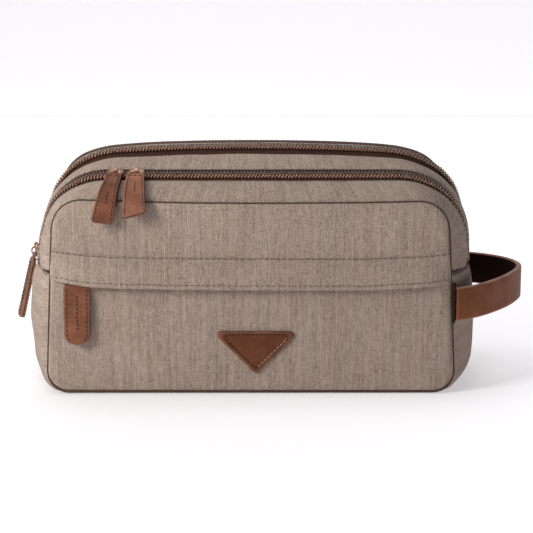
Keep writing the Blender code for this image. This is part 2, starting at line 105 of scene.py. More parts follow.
def ripple(points, wave, seed=0.0, octaves=2):
    """Smooth noise of about -1..1 at each point, with features about wave mm across."""
    flat = points.reshape(-1, 3)
    out = np.empty(len(flat))
    for i, p in enumerate(flat):
        v, w, a = 0.0, wave, 1.0
        for k in range(octaves):
            v += a * noise.noise(Vector((p[0] / w + seed, p[1] / w + 7.1 * k, p[2] / w - seed)))
            w, a = w / 2.1, a * 0.45
        out[i] = v
    return out.reshape(points.shape[:-1])


# ---------------------------------------------------------------- mesh helpers
def mesh_object(name, verts, faces, uv=None, mats=(), index=None, flat=False):
    me = bpy.data.meshes.new(name)
    verts = np.array(verts, float).reshape(-1, 3)
    if not name.startswith("studio"):
        # the front's left edge sits a little further out than its right one
        verts[:, 0] -= 1.35 * smooth(-verts[:, 0], 60, 112) * (1 - smooth(verts[:, 1] - YF, 3.0, 17.0))
    verts = verts * 0.001
    me.from_pydata(verts.tolist(), [], [tuple(int(i) for i in f) for f in faces])
    if uv is not None:
        layer = me.uv_layers.new(name="cloth")
        loops = np.empty(len(me.loops), np.int32)
        me.loops.foreach_get("vertex_index", loops)
        layer.data.foreach_set("uv", (np.asarray(uv, float).reshape(-1, 2)[loops] * 0.01).ravel())
    for m in mats:
        me.materials.append(m)
    if index is not None:
        me.polygons.foreach_set("material_index", np.asarray(index, np.int32))
    me.polygons.foreach_set("use_smooth", [not flat] * len(me.polygons))
    me.validate()
    me.update()
    obj = bpy.data.objects.new(name, me)
    scene.collection.objects.link(obj)
    return obj


def grid_faces(rows, cols, wrap_rows=False, wrap_cols=False):
    faces = []
    for i in range(rows if wrap_rows else rows - 1):
        a, b = i * cols, ((i + 1) % rows) * cols
        for j in range(cols if wrap_cols else cols - 1):
            k = (j + 1) % cols
            faces.append((a + j, a + k, b + k, b + j))
    return faces


def sheet(name, grid, uv, mats, inside, thick=0.9):
    """A cloth panel from a grid of points, faced away from inside and given thickness inwards."""
    rows, cols = grid.shape[:2]
    faces = grid_faces(rows, cols)
    flat = grid.reshape(-1, 3)
    f = np.array(faces)
    normal = np.cross(flat[f[:, 2]] - flat[f[:, 0]], flat[f[:, 3]] - flat[f[:, 1]])
    centre = flat[f].mean(1)
    facing = (normal * (centre - np.asarray(inside, float))).sum()
    if facing < 0:
        faces = [t[::-1] for t in faces]
    obj = mesh_object(name, flat, faces, uv, mats)
    if thick:
        wall = obj.modifiers.new("wall", "SOLIDIFY")
        wall.thickness = thick * 0.001
        wall.offset = -1.0
        wall.material_offset = 1 if len(mats) > 1 else 0
        wall.use_quality_normals = False
    return obj


def tube_data(path, radius, sides=6, closed=False, up=(0, 0, 1)):
    path = np.asarray(path, float)
    n = len(path)
    if closed:
        tan = unit(np.roll(path, -1, 0) - np.roll(path, 1, 0))
    else:
        tan = unit(np.gradient(path, axis=0))
    side = np.cross(tan, np.asarray(up, float))
    weak = np.linalg.norm(side, axis=1) < 0.05
    side[weak] = np.cross(tan[weak], (1.0, 0.3, 0.1))
    side = unit(side)
    top = np.cross(side, tan)
    r = np.broadcast_to(np.asarray(radius, float), (n,))[:, None, None]
    a = np.linspace(0, 2 * math.pi, sides, endpoint=False)
    ring = np.cos(a)[None, :, None] * side[:, None] + np.sin(a)[None, :, None] * top[:, None]
    verts = path[:, None] + ring * r
    faces = grid_faces(n, sides, closed, True)
    if not closed:
        faces += [tuple(range(sides))[::-1], tuple((n - 1) * sides + k for k in range(sides))]
    return verts.reshape(-1, 3), faces


def join_data(parts):
    verts, faces, start = [], [], 0
    for v, f in parts:
        verts.append(v)
        faces += [tuple(i + start for i in t) for t in f]
        start += len(v)
    return np.concatenate(verts), faces


def stitches(path, pitch, length, radius, lift=None, slant=0.0, side=None, phase=0.5):
    """Short rounded threads laid end to end along a line."""
    path = np.asarray(path, float)
    s = np.concatenate([[0], np.cumsum(np.linalg.norm(np.diff(path, axis=0), axis=1))])
    count = max(int(s[-1] / pitch), 1)
    pitch = s[-1] / count
    parts = []
    for k in range(count):
        at = np.array([-0.5, -0.25, 0.0, 0.25, 0.5]) * length + (k + phase) * pitch
        p = np.stack([np.interp(at, s, path[:, c]) for c in range(3)], 1)
        if side is not None:
            p = p + np.linspace(-0.5, 0.5, 5)[:, None] * np.asarray(side, float) * slant
        if lift is not None:
            p = p + np.array([-0.22, 0.08, 0.14, 0.08, -0.22])[:, None] * np.asarray(lift, float) * radius * 2.2
        parts.append(tube_data(p, radius * np.array([0.45, 0.95, 1.0, 0.95, 0.45]), 5))
    return join_data(parts)


# ---------------------------------------------------------------- materials
def principled(name):
    m = bpy.data.materials.new(name)
    m.use_nodes = True
    t = m.node_tree
    return m, t, t.nodes["Principled BSDF"]


def add(t, kind, **values):
    n = t.nodes.new(kind)
    for k, v in values.items():
        if k.startswith("in_"):
            n.inputs[int(k[3:])].default_value = v
        else:
            setattr(n, k, v)
    return n


def maths(t, op, a, b=None, clamp=False):
    n = add(t, "ShaderNodeMath", operation=op, use_clamp=clamp)
    for i, v in enumerate((a, b)):
        if v is None:
            continue
        if hasattr(v, "is_output"):
            t.links.new(v, n.inputs[i])
        else:
            n.inputs[i].default_value = v
    return n.outputs[0]


def ramp(t, fac, stops):
    n = add(t, "ShaderNodeValToRGB")
    el = n.color_ramp.elements
    while len(el) < len(stops):
        el.new(0.5)
    for e, (p, c) in zip(el, stops):
        e.position = p
        e.color = (*c, 1.0) if len(c) == 3 else (c[0],) * 3 + (1.0,)
    t.links.new(fac, n.inputs[0])
    return n.outputs[0]


def stretched(t, coords, scale, detail=3.0, rough=0.6, seed=0.0):
    m = add(t, "ShaderNodeMapping")
    m.inputs["Scale"].default_value = scale
    m.inputs["Location"].default_value = (seed, seed * 0.7, seed * 1.3)
    t.links.new(coords, m.inputs["Vector"])
    n = add(t, "ShaderNodeTexNoise")
    n.inputs["Scale"].default_value = 1.0
    n.inputs["Detail"].default_value = detail
    n.inputs["Roughness"].default_value = rough
    t.links.new(m.outputs[0], n.inputs["Vector"])
    return n.outputs["Fac"]


def mix(t, kind, fac, a, b):
    n = add(t, "ShaderNodeMix", data_type="RGBA", blend_type=kind)
    for sock, v in ((n.inputs[0], fac), (n.inputs[6], a), (n.inputs[7], b)):
        if hasattr(v, "is_output"):
            t.links.new(v, sock)
        elif isinstance(v, (tuple, list)):
            sock.default_value = (*v[:3], 1.0)
        else:
            sock.default_value = v
    return n.outputs[2]


def bump(t, height, distance, strength=1.0, below=None):
    n = add(t, "ShaderNodeBump")
    n.inputs["Strength"].default_value = strength
    n.inputs["Distance"].default_value = distance
    t.links.new(height, n.inputs["Height"])
    if below is not None:
        t.links.new(below, n.inputs["Normal"])
    return n.outputs[0]


def canvas_material(name, dark, light, thread=1.12, streak=1.0):
    """Heathered cotton canvas: vertical slubs, weaker cross threads, fibre speckle and a plain weave in the bump."""
    m, t, b = principled(name)
    uv = add(t, "ShaderNodeTexCoord").outputs["UV"]
    obj = add(t, "ShaderNodeTexCoord").outputs["Object"]
    down = stretched(t, uv, (118.0, 15.0, 1.0), 3.0, 0.6, 3.1)
    down2 = stretched(t, uv, (60.0, 2.4, 1.0), 2.0, 0.5, 11.7)
    cross = stretched(t, uv, (16.0, 118.0, 1.0), 3.0, 0.6, 5.3)
    speck = stretched(t, uv, (260.0, 200.0, 1.0), 1.0, 0.6, 8.2)
    cloud = stretched(t, obj, (26.0, 26.0, 26.0), 3.0, 0.55, 2.2)
    total = maths(t, "MULTIPLY", maths(t, "SUBTRACT", down, 0.5), 0.42 * streak)
    total = maths(t, "ADD", total, maths(t, "MULTIPLY", maths(t, "SUBTRACT", down2, 0.5), 0.34 * streak))
    total = maths(t, "ADD", total, maths(t, "MULTIPLY", maths(t, "SUBTRACT", cross, 0.5), 0.26 * streak))
    total = maths(t, "ADD", total, maths(t, "MULTIPLY", maths(t, "SUBTRACT", speck, 0.5), 1.15))
    total = maths(t, "ADD", total, maths(t, "MULTIPLY", maths(t, "SUBTRACT", cloud, 0.5), 0.18))
    fac = maths(t, "ADD", total, 0.5, True)
    colour = ramp(t, fac, [(0.12, dark), (0.5, tuple((a + c) / 2 for a, c in zip(dark, light))), (0.86, light)])
    # the weave itself: warp and weft passing over each other
    sep = add(t, "ShaderNodeSeparateXYZ")
    t.links.new(uv, sep.inputs[0])
    k = 2 * math.pi * 100.0 / thread
    warp_wave = maths(t, "SINE", maths(t, "ADD", maths(t, "MULTIPLY", sep.outputs[0], k), maths(t, "MULTIPLY", down, 1.6)))
    weft_wave = maths(t, "SINE", maths(t, "ADD", maths(t, "MULTIPLY", sep.outputs[1], k), maths(t, "MULTIPLY", cross, 1.6)))
    weave = maths(t, "ADD", maths(t, "MULTIPLY", maths(t, "MULTIPLY", warp_wave, weft_wave), 0.36), maths(t, "MULTIPLY", warp_wave, 0.2))
    shade = ramp(t, maths(t, "ADD", maths(t, "MULTIPLY", weave, 0.9), 0.5, True), [(0.0, (0.60,)), (1.0, (1.26,))])
    colour = mix(t, "MULTIPLY", 1.0, colour, shade)
    t.links.new(colour, b.inputs["Base Color"])
    height = maths(t, "ADD", maths(t, "ADD", maths(t, "MULTIPLY", weave, 0.55), maths(t, "MULTIPLY", down, 0.8)),
                   maths(t, "ADD", maths(t, "MULTIPLY", cross, 0.5), maths(t, "MULTIPLY", speck, 0.5)))
    t.links.new(bump(t, height, 0.00028, 0.75), b.inputs["Normal"])
    b.inputs["Roughness"].default_value = 0.95
    b.inputs["Specular IOR Level"].default_value = 0.09
    b.inputs["Sheen Weight"].default_value = 0.03
    b.inputs["Sheen Roughness"].default_value = 0.6
    return m


def leather_material(name, dark, light, grain=0.00012, rough=0.52, scale=1.0):
    m, t, b = principled(name)
    obj = add(t, "ShaderNodeTexCoord").outputs["Object"]
    cloud = stretched(t, obj, (95 * scale,) * 3, 4.0, 0.6, 1.3)
    fine = stretched(t, obj, (900 * scale,) * 3, 3.0, 0.65, 4.4)
    pore = add(t, "ShaderNodeTexVoronoi", feature="DISTANCE_TO_EDGE")
    pore.inputs["Scale"].default_value = 1500 * scale
    t.links.new(obj, pore.inputs["Vector"])
    fac = maths(t, "ADD", maths(t, "MULTIPLY", maths(t, "SUBTRACT", cloud, 0.5), 1.6),
                maths(t, "ADD", maths(t, "MULTIPLY", maths(t, "SUBTRACT", fine, 0.5), 0.7), 0.5), True)
    t.links.new(ramp(t, fac, [(0.1, dark), (0.9, light)]), b.inputs["Base Color"])
    h = maths(t, "ADD", maths(t, "MULTIPLY", pore.outputs["Distance"], 1.2), fine)
    t.links.new(bump(t, h, grain, 0.7), b.inputs["Normal"])
    r = maths(t, "ADD", maths(t, "MULTIPLY", maths(t, "SUBTRACT", fine, 0.5), 0.35), rough, True)
    t.links.new(r, b.inputs["Roughness"])
    b.inputs["Specular IOR Level"].default_value = 0.07
    return m


def metal_material(name, dark, light, rough=0.34):
    m, t, b = principled(name)
    obj = add(t, "ShaderNodeTexCoord").outputs["Object"]
    cloud = stretched(t, obj, (420.0,) * 3, 4.0, 0.65, 2.0)
    scratch = stretched(t, obj, (2600.0, 300.0, 700.0), 2.0, 0.6, 6.0)
    t.links.new(ramp(t, cloud, [(0.3, dark), (0.7, light)]), b.inputs["Base Color"])
    b.inputs["Metallic"].default_value = 1.0
    t.links.new(maths(t, "ADD", maths(t, "MULTIPLY", scratch, 0.28), rough - 0.12, True), b.inputs["Roughness"])
    t.links.new(bump(t, scratch, 0.00004, 0.5), b.inputs["Normal"])
    return m


def woven_material(name, dark, light, pitch=0.8, rough=0.85, ribs=True):
    """Ribbed narrow tape, lining twill or corded piping."""
    m, t, b = principled(name)
    uv = add(t, "ShaderNodeTexCoord").outputs["UV"]
    obj = add(t, "ShaderNodeTexCoord").outputs["Object"]
    sep = add(t, "ShaderNodeSeparateXYZ")
    t.links.new(uv, sep.inputs[0])
    k = 2 * math.pi * 100.0 / pitch
    along = maths(t, "MULTIPLY", sep.outputs[0], k)
    acrossw = maths(t, "MULTIPLY", sep.outputs[1], k)
    twill = maths(t, "SINE", maths(t, "ADD", along, acrossw))
    rib = maths(t, "SINE", acrossw) if ribs else maths(t, "SINE", along)
    weave = maths(t, "ADD", maths(t, "MULTIPLY", twill, 0.5), maths(t, "MULTIPLY", rib, 0.35))
    fibre = stretched(t, obj, (1500.0,) * 3, 3.0, 0.7, 9.0)
    fac = maths(t, "ADD", maths(t, "MULTIPLY", weave, 0.28),
                maths(t, "ADD", maths(t, "MULTIPLY", maths(t, "SUBTRACT", fibre, 0.5), 1.4), 0.5), True)
    t.links.new(ramp(t, fac, [(0.1, dark), (0.9, light)]), b.inputs["Base Color"])
    t.links.new(bump(t, maths(t, "ADD", weave, fibre), 0.0002, 0.7), b.inputs["Normal"])
    b.inputs["Roughness"].default_value = rough
    b.inputs["Specular IOR Level"].default_value = 0.06
    return m


def thread_material(name, dark, light):
    m, t, b = principled(name)
    obj = add(t, "ShaderNodeTexCoord").outputs["Object"]
    ply = stretched(t, obj, (2200.0, 2200.0, 2200.0), 2.0, 0.6, 1.0)
    t.links.new(ramp(t, ply, [(0.3, dark), (0.7, light)]), b.inputs["Base Color"])
    t.links.new(bump(t, ply, 0.00008, 0.6), b.inputs["Normal"])
    b.inputs["Roughness"].default_value = 0.75
    return m


def coil_material(name, dark, light, rough=0.3, metallic=0.35):
    m, t, b = principled(name)
    obj = add(t, "ShaderNodeTexCoord").outputs["Object"]
    n1 = stretched(t, obj, (1100.0,) * 3, 2.0, 0.6, 3.0)
    t.links.new(ramp(t, n1, [(0.3, dark), (0.7, light)]), b.inputs["Base Color"])
    b.inputs["Metallic"].default_value = metallic
    t.links.new(maths(t, "ADD", maths(t, "MULTIPLY", n1, 0.25), rough - 0.1, True), b.inputs["Roughness"])
    return m


CANVAS = canvas_material("canvas", (0.100, 0.071, 0.053), (0.620, 0.490, 0.405))
CANVAS_IN = woven_material("canvas_backing", (0.06, 0.045, 0.036), (0.10, 0.078, 0.064), 0.9)
LINING = woven_material("lining_twill", (0.07, 0.05, 0.04), (0.115, 0.086, 0.07), 0.9)
# dark cord for the seams and the divider's binding; in the seams its darkness is partly painted shade of the groove
PIPING_AND_SEAM_SHADE = woven_material("piping_cord_and_seam_shade", (0.036, 0.022, 0.017), (0.150, 0.100, 0.078), 1.1)
# a lighter copy of the same cord for the rear seam: painted light where it runs along the lit top rim
PIPING_REAR_LIT = woven_material("piping_cord_rear_lit", (0.085, 0.052, 0.038), (0.240, 0.165, 0.130), 1.1)
TAPE = woven_material("zip_tape", (0.034, 0.015, 0.010), (0.098, 0.048, 0.034), 0.7)
COIL = coil_material("coil_copper", (0.14, 0.060, 0.037), (0.72, 0.42, 0.29), 0.26, 0.45)
# back row of each coil: a greyer copy of the same coil, painted sheen where its turns face up and reflect the sky
COIL_BACK_SHEEN = coil_material("coil_back_sheen", (0.05, 0.033, 0.026), (0.26, 0.19, 0.155), 0.32, 0.3)
METAL = metal_material("antique_copper", (0.17, 0.085, 0.055), (0.50, 0.29, 0.20))
LEATHER = leather_material("leather_pull", (0.115, 0.040, 0.021), (0.250, 0.102, 0.060))
LEATHER_LIGHT = leather_material("leather_pull_light", (0.150, 0.054, 0.029), (0.320, 0.138, 0.086))
LEATHER_DARK = leather_material("leather_pull_dark", (0.100, 0.034, 0.017), (0.215, 0.086, 0.050))
LEATHER_EDGE = leather_material("leather_edge", (0.16, 0.075, 0.047), (0.33, 0.175, 0.115), 0.00006, 0.45)
STRAP = leather_material("leather_strap", (0.155, 0.049, 0.020), (0.250, 0.090, 0.042), 0.00009, 0.5, 0.7)
# near-black inside of the loop: partly the leather's own dark inner face, partly painted shade
STRAP_IN_SHADE = leather_material("leather_strap_inside_shade", (0.010, 0.0035, 0.0025), (0.019, 0.007, 0.005), 0.0001, 0.75)
STRAP_EDGE = leather_material("leather_strap_edge", (0.22, 0.105, 0.062), (0.42, 0.22, 0.14), 0.00005, 0.42)
PATCH = leather_material("leather_patch", (0.095, 0.030, 0.014), (0.160, 0.056, 0.029), 0.0001, 0.5)
PATCH_EDGE = leather_material("leather_patch_edge", (0.11, 0.044, 0.025), (0.25, 0.115, 0.068), 0.00005, 0.5)
THREAD = thread_material("thread_dark", (0.045, 0.030, 0.024), (0.115, 0.080, 0.064))
THREAD_CANVAS = thread_material("thread_canvas", (0.08, 0.058, 0.046), (0.19, 0.145, 0.118))
THREAD_LEATHER = thread_material("thread_leather", (0.010, 0.004, 0.003), (0.032, 0.013, 0.009))
THREAD_TAN = thread_material("thread_tan", (0.30, 0.18, 0.12), (0.50, 0.33, 0.23))
# near-black: painted shadow in the slot beside the strap's ends, used on the canvas tabs there
BINDING_SHADOW = woven_material("binding_tape_shadow", (0.012, 0.007, 0.005), (0.045, 0.028, 0.021), 0.9)
GLUE = leather_material("leather_glue_line", (0.018, 0.008, 0.006), (0.04, 0.018, 0.012), 0.00005, 0.6)
BOARD = woven_material("board_felt", (0.018, 0.016, 0.015), (0.05, 0.046, 0.042), 1.3)


# ---------------------------------------------------------------- the bag's form
END_X = [(0, 116.0), (21.2, 127.2), (31.8, 131.4), (43, 132.2), (55, 130.3), (66, 132.7), (78, 132.0), (90, 127.6), (99, 121.4), (106, 116.0)]
SIDE_OUT = [(4, 12.4), (10, 13.4), (20, 15.4), (40, 17.0), (60, 16.6), (73, 15.2)]
# the rear seam's half outline: up its side, round its corner and along its top
REAR_SEAM = catmull([(116.3, 73.0), (116.6, 81.4), (117.8, 89.5), (119.3, 97.5), (120.2, 105.5), (119.4, 112.0), (117.2, 117.6),
                     (113.4, 122.2), (108.4, 126.0), (102.6, 128.7), (96.0, 130.6), (87.0, 132.2), (68.0, 133.7), (46.0, 134.6), (22.0, 135.1), (0.0, 135.2)], 8)


def bulge(depth):
    return 1 - np.abs(2 * np.asarray(depth, float) / DEPTH - 1) ** 2.6


def side_x(depth, z):
    return 119.3 - 0.05 * np.maximum(np.asarray(z, float) - 12, 0) + table(z, SIDE_OUT) * bulge(depth)


LEFT_FAR = [(60, 0), (72, 2), (80.5, 3.5), (95.5, 4), (104.3, 4), (112.8, 2.3), (119, 1.5), (126, 0.3), (130, 0)]
LEFT_NEAR = [(60, 0), (72, 2), (80.5, 3), (95.5, 3.5), (104, 2.6), (112, 1), (119, 0.5), (126, 0)]
RIGHT_FAR = [(60, -0.3), (72, -1.2), (83, -2), (95, -1), (104, -0.3), (110, 0.6), (116, 1.6), (124, 2.2), (131, 1.6), (136, 0.5)]


def settle(p):
    """The soft body's lean: the left shoulder sits a little further in than the right one."""
    p = np.array(p, float)
    x, d, z = p[..., 0], p[..., 1] - YF, p[..., 2]
    w = smooth(np.abs(x), 50, 95) * smooth(d, 1.0, 18.0)
    back = smooth(d, 26.5, 60.0)
    rear = 1 - smooth(d, 72, 100) * smooth(z, 92, 106)
    left = (table(z, LEFT_NEAR) * (1 - back) + table(z, LEFT_FAR) * back) * rear
    right = table(z, RIGHT_FAR) * (0.45 + 0.55 * back) * rear
    low = smooth(z, 62, 73)
    p[..., 0] = x + np.where(x < 0, left, right) * w * np.where(z < 73, low, 1.0)
    return p


def mirror(half, depth):
    """A half outline of (x, z) from the right side to the top's middle, made whole from left to right."""
    half = np.asarray(half, float)
    left = half.copy()
    left[:, 0] *= -1
    line = np.concatenate([left, half[-2::-1]])
    depth = np.broadcast_to(depth, (len(half),))
    both = np.concatenate([depth, depth[-2::-1]])
    return np.stack([line[:, 0], YF + both, line[:, 1]], 1)


def zip_point(strip, across, height):
    """Half outline (side, corner, top) of a line on a zipper strip."""
    start = math.radians(strip["start"])
    angles = np.array([math.pi / 2 + (start - math.pi / 2) * k / NA for k in range(NA + 1)])
    # the strip leans forward over the top and turns square to the side as it comes down
    tilt = np.radians(strip["tilt"]) * (1 - 0.78 * smooth(angles, math.radians(12), math.radians(66)))
    r = strip["r"] + across * np.sin(tilt) + height * np.cos(tilt)
    depth = strip["y"] + across * np.cos(tilt) - height * np.sin(tilt)
    foot = float(side_x(depth[0], Z_END)) + height * 0.97
    side = [(foot + (strip["cx"] + r[0] - foot) * float(smooth(k / NS, -0.25, 1.25)), Z_END + (Z_ARC - Z_END) * k / NS) for k in range(NS)]
    arc = [(strip["cx"] + q * math.sin(a), Z_ARC + q * math.cos(a)) for a, q in zip(angles, r)]
    depth = np.concatenate([np.full(NS, depth[0]), depth, np.full(NT, depth[-1])])
    xt, zt = arc[-1]
    top = [(xt * (1 - k / NT), zt + strip["crown"] * (1 - (1 - k / NT) ** 2)) for k in range(1, NT + 1)]
    return np.array(side + arc + top), depth


def zip_line(strip, across, height=0.0):
    half, depth = zip_point(strip, across, height)
    return mirror(half, depth)


def front_seam(inset=0.0, depth=0.0):
    """The front seam above the end seam; it stands a little higher on the left."""
    radius, top, width = 18.0, 113.9, 115.0
    cx, cz = width - radius, top - radius
    side = [(116.25 - 0.35 * k / NS - inset, Z_END + (Z_ARC - Z_END) * k / NS) for k in range(NS)]
    path = [(width + 0.9 * (1 - k / 8) - inset, Z_ARC + (cz - Z_ARC) * k / 8) for k in range(8)]
    path += [(cx + (radius - inset) * math.sin(a), cz + (radius - inset) * math.cos(a))
             for a in (math.pi / 2 * (1 - k / 24) for k in range(25))]
    arc = resample(path, NA + 1)
    top_pts = [(cx * (1 - k / NT), top - inset - 1.5 * (1 - (1 - k / NT) ** 2)) for k in range(1, NT + 1)]
    line = mirror(np.array(side + [tuple(q) for q in arc] + top_pts), depth)
    lift = 1.7 + np.where(line[:, 0] < 0, 0.45, -0.4) * smooth(np.abs(line[:, 0]), 20, 95)
    line[:, 2] += lift * smooth(line[:, 2], 88, 112)
    return line


def rear_seam(inset=0.0, depth=DEPTH):
    k = int(np.argmin(np.abs(REAR_SEAM[:, 1] - Z_ARC)))
    j = int(np.argmin(np.abs(REAR_SEAM[:, 0] - 96.0)))
    side = resample(REAR_SEAM[: k + 1], NS + 1)[:-1]
    arc = resample(REAR_SEAM[k : j + 1], NA + 1)
    top = resample(REAR_SEAM[j:], NT + 1)[1:]
    half = np.concatenate([side, arc, top])
    if inset:
        tan = unit(np.gradient(half, axis=0))
        half = half - np.stack([tan[:, 1], -tan[:, 0]], 1) * inset
        half[-1, 0] = 0.0
    return mirror(half, depth)


def outward(line):
    """Unit vectors in the outline's plane that point away from the bag's middle."""
    tan = unit(np.gradient(line[:, [0, 2]], axis=0))
    n = np.stack([-tan[:, 1], tan[:, 0]], 1)
    return np.stack([n[:, 0], np.zeros(len(n)), n[:, 1]], 1)


def length_uv(grid):
    """Millimetres along each row's middle line, and across the rows."""
    mid = grid[grid.shape[0] // 2]
    u = np.concatenate([[0], np.cumsum(np.linalg.norm(np.diff(mid, axis=0), axis=1))])
    v = np.concatenate([[0], np.cumsum(np.linalg.norm(np.diff(grid[:, grid.shape[1] // 2], axis=0), axis=1))])
    return np.stack(np.broadcast_arrays(u[None, :], v[:, None]), -1)


def strip_grid(a, b, crown, start, end, rows=16, folds=0.0, seed=0.0):
    """Rows from line a to line b, bowed outwards. start and end are 'seam' or 'hem' and shape the two edges."""
    out = unit(outward(a) + outward(b))
    across = b - a
    width = np.linalg.norm(across, axis=1, keepdims=True)
    dirn = across / np.maximum(width, 1e-6)
    made = []

    def edge(kind, line, sign):
        lines = []
        if kind == "seam":      # turned in to the stitched seam
            for away, drop in ((0.15, 2.6), (0.0, 1.3), (0.35, 0.5), (0.9, 0.12)):
                lines.append(line + dirn * sign * away - out * drop)
        else:                   # folded under beside the zipper
            for away, drop in ((3.2, 1.75), (1.1, 1.6), (0.25, 1.25), (0.0, 0.75), (0.22, 0.25), (0.85, 0.02)):
                lines.append(line + dirn * sign * away - out * drop)
        return lines

    made += edge(start, a, 1)
    for k in range(rows + 1):
        u = k / rows
        u = 0.5 - 0.5 * math.cos(math.pi * (0.12 + 0.76 * u)) if rows > 3 else u
        lo, hi = 0.5 - 0.5 * math.cos(math.pi * 0.12), 0.5 + 0.5 * math.cos(math.pi * 0.12)
        u = (u - lo) / (hi - lo)
        room = np.minimum(1.7 / np.maximum(width, 1e-6), 0.3)
        w = room + (1 - 2 * room) * u
        p = a + across * w + out * crown * (4 * w * (1 - w)) ** 0.8
        made.append(p)
    made += edge(end, b, -1)[::-1]
    grid = np.array(made)
    n = ripple(grid, 34.0, seed) * 0.35 + ripple(grid, 13.0, seed + 5) * 0.10
    rim = np.ones(len(grid))
    rim[:4] = rim[-4:] = 0.15
    grid = grid + out[None] * (n * rim[:, None])[..., None]
    if folds:
        # soft parallel folds that run along the strip where it turns the corner
        s = np.linspace(0, 1, len(grid))[:, None]
        turn = smooth(np.abs(grid[..., 0]), 92, 112) * (1 - smooth(grid[..., 2], 118, 126)) * smooth(grid[..., 2], 78, 92)
        wave = np.sin(s * 2 * math.pi * 2.6 + 0.35 * ripple(grid, 18.0, seed + 2)) * np.where(grid[..., 0] > 0, 1.0, 0.45)
        grid = grid + out[None] * (wave * turn * folds * (rim[:, None]))[..., None]
    return grid


INSIDE = (0, 0, 55)
PAIR = (CANVAS, CANVAS_IN)


def cloth(name, grid, mats=PAIR, inside=INSIDE, thick=0.8, uv=None):
    return sheet(name, grid, length_uv(grid) if uv is None else uv, mats, inside, thick)


# ---------------------------------------------------------------- arched canvas strips
front_edge = zip_line(ZIP_FRONT, -5.9, 0.35)
mid_front_edge = zip_line(ZIP_FRONT, 6.6, 0.9)
mid_rear_edge = zip_line(ZIP_REAR, -8.2, -0.2)
rear_edge = zip_line(ZIP_REAR, 5.2, 0.15)

FRONT_STRIP = settle(strip_grid(front_seam(0.0, 0.9), front_edge, 1.5, "seam", "hem", 16, 0.32, 1.0))
piece = cloth("canvas_front_gusset", FRONT_STRIP)
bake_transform(piece)
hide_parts("front_gusset", "gusset_end_left", "gusset_end_right")

piece = cloth("canvas_middle_gusset", settle(strip_grid(mid_front_edge, mid_rear_edge, 1.0, "hem", "hem", 14, 0.15, 2.0)))
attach(piece, "bag_body")
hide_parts("middle_gusset")

REAR_STRIP = settle(strip_grid(rear_edge, rear_seam(0.9, DEPTH - 0.9), 0.35, "hem", "seam", 16, 0.1, 3.0))
piece = cloth("canvas_rear_gusset", REAR_STRIP)
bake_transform(piece)
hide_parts("rear_gusset")


# ---------------------------------------------------------------- lower body
def lower_outline(depth, side, n_side=14, n_corner=18, n_base=30):
    """Half outline of the lower body from the end seam down and under to the middle. side is -1 or 1."""
    b = float(bulge(depth))
    z0 = 1.0 if min(depth, DEPTH - depth) < 5 else 0.0
    if side < 0:
        rx, rz = 13 + 10 * b * b - 8 * b * (1 - b), 12.5 + 8.5 * b * b - 6 * b * (1 - b)
        slim = 1.4 * b
    else:
        rx, rz = 11 + 9 * b, 11.5 + 8 * b
        slim = 0.0
    zc = z0 + rz
    pts = []
    for k in range(n_side):
        z = Z_END + (zc - Z_END) * k / n_side
        x = float(side_x(depth, z)) - slim * float(smooth(z, 40, 20))
        pts.append((x, z))
    xc = float(side_x(depth, zc)) - slim
    for k in range(n_corner + 1):
        a = math.pi / 2 * k / n_corner
        pts.append((xc - rx * (1 - math.cos(a)), zc - rz * math.sin(a)))
    xe = pts[-1][0]
    for k in range(1, n_base + 1):
        pts.append((xe * (1 - k / n_base), z0))
    return np.array(pts)


rows = []
for d, inset in [(0.55, 2.4), (0.35, 1.2), (0.7, 0.45), (1.3, 0.1), (2.2, 0.0), (3.6, 0), (5.4, 0), (8, 0), (12, 0), (17, 0), (23, 0), (30, 0), (38, 0),
                 (46, 0), (53, 0), (60, 0), (68, 0), (76, 0), (83, 0), (89, 0), (94, 0), (98, 0), (100.6, 0), (102.4, 0), (103.8, 0),
                 (104.7, 0.1), (105.3, 0.45), (105.65, 1.2), (105.45, 2.4)]:
    dd = min(max(d, 0.9), DEPTH - 0.9)
    right, left = lower_outline(dd, 1), lower_outline(dd, -1)
    left = left * (-1, 1)
    line = np.concatenate([left, right[-2::-1]])
    tan = unit(np.gradient(line, axis=0))
    line = line + np.stack([-tan[:, 1], tan[:, 0]], 1) * inset
    rows.append(np.stack([line[:, 0], np.full(len(line), YF + d), line[:, 1]], 1))
body = np.array(rows)
n = ripple(body, 40.0, 4.0) * 0.45 + ripple(body, 15.0, 9.0) * 0.12
free = smooth(body[..., 2], 1.5, 9) * smooth(np.minimum(body[..., 1] - YF, DEPTH - (body[..., 1] - YF)), 0.8, 4)
tan = unit(np.gradient(body[..., [0, 2]], axis=1))
out2 = np.stack([tan[..., 1], np.zeros_like(tan[..., 0]), -tan[..., 0]], -1)
body = body + out2 * (n * free)[..., None]
# the top edge turns in under the end seam
low = smooth(body[..., 2], 71.2, 73.0)
body = body - out2 * (low * 0.9 * 1.0)[..., None]
body[..., 2] = np.maximum(body[..., 2], 0.0)
body = settle(body)
piece = cloth("canvas_lower_gusset", body, thick=0.9)
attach(piece, "bag_body")
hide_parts("lower_gusset")

# the end seams, where the arched strips meet the side panels: a narrow welt of the dark cord, whose darkness is partly
# painted shade of the seam's groove, and its stitches
parts, welts = [], []
for side in (-1, 1):
    d = np.linspace(1.2, DEPTH - 1.2, 60)
    x = side_x(d, Z_END) * side
    p = settle(np.stack([x, YF + d, np.full(60, Z_END)], 1))
    shift = np.stack([np.full(60, -0.15 * side), np.zeros(60), np.full(60, 0.1)], 1)
    parts.append(tube_data(p + shift, 0.78, 8))
    welts.append(stitches(p + np.stack([np.full(60, 0.12 * side), np.zeros(60), np.full(60, -1.9)], 1), 2.9, 1.9, 0.2, (side, 0, 0)))
v, f = join_data(parts)
piece = mesh_object("end_seam_welt", v, f, v[:, [1, 2]], (PIPING_AND_SEAM_SHADE,))
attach(piece, "bag_body")
v, f = join_data(welts)
piece = mesh_object("end_seam_stitches", v, f, None, (THREAD_CANVAS,))
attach(piece, "bag_body")


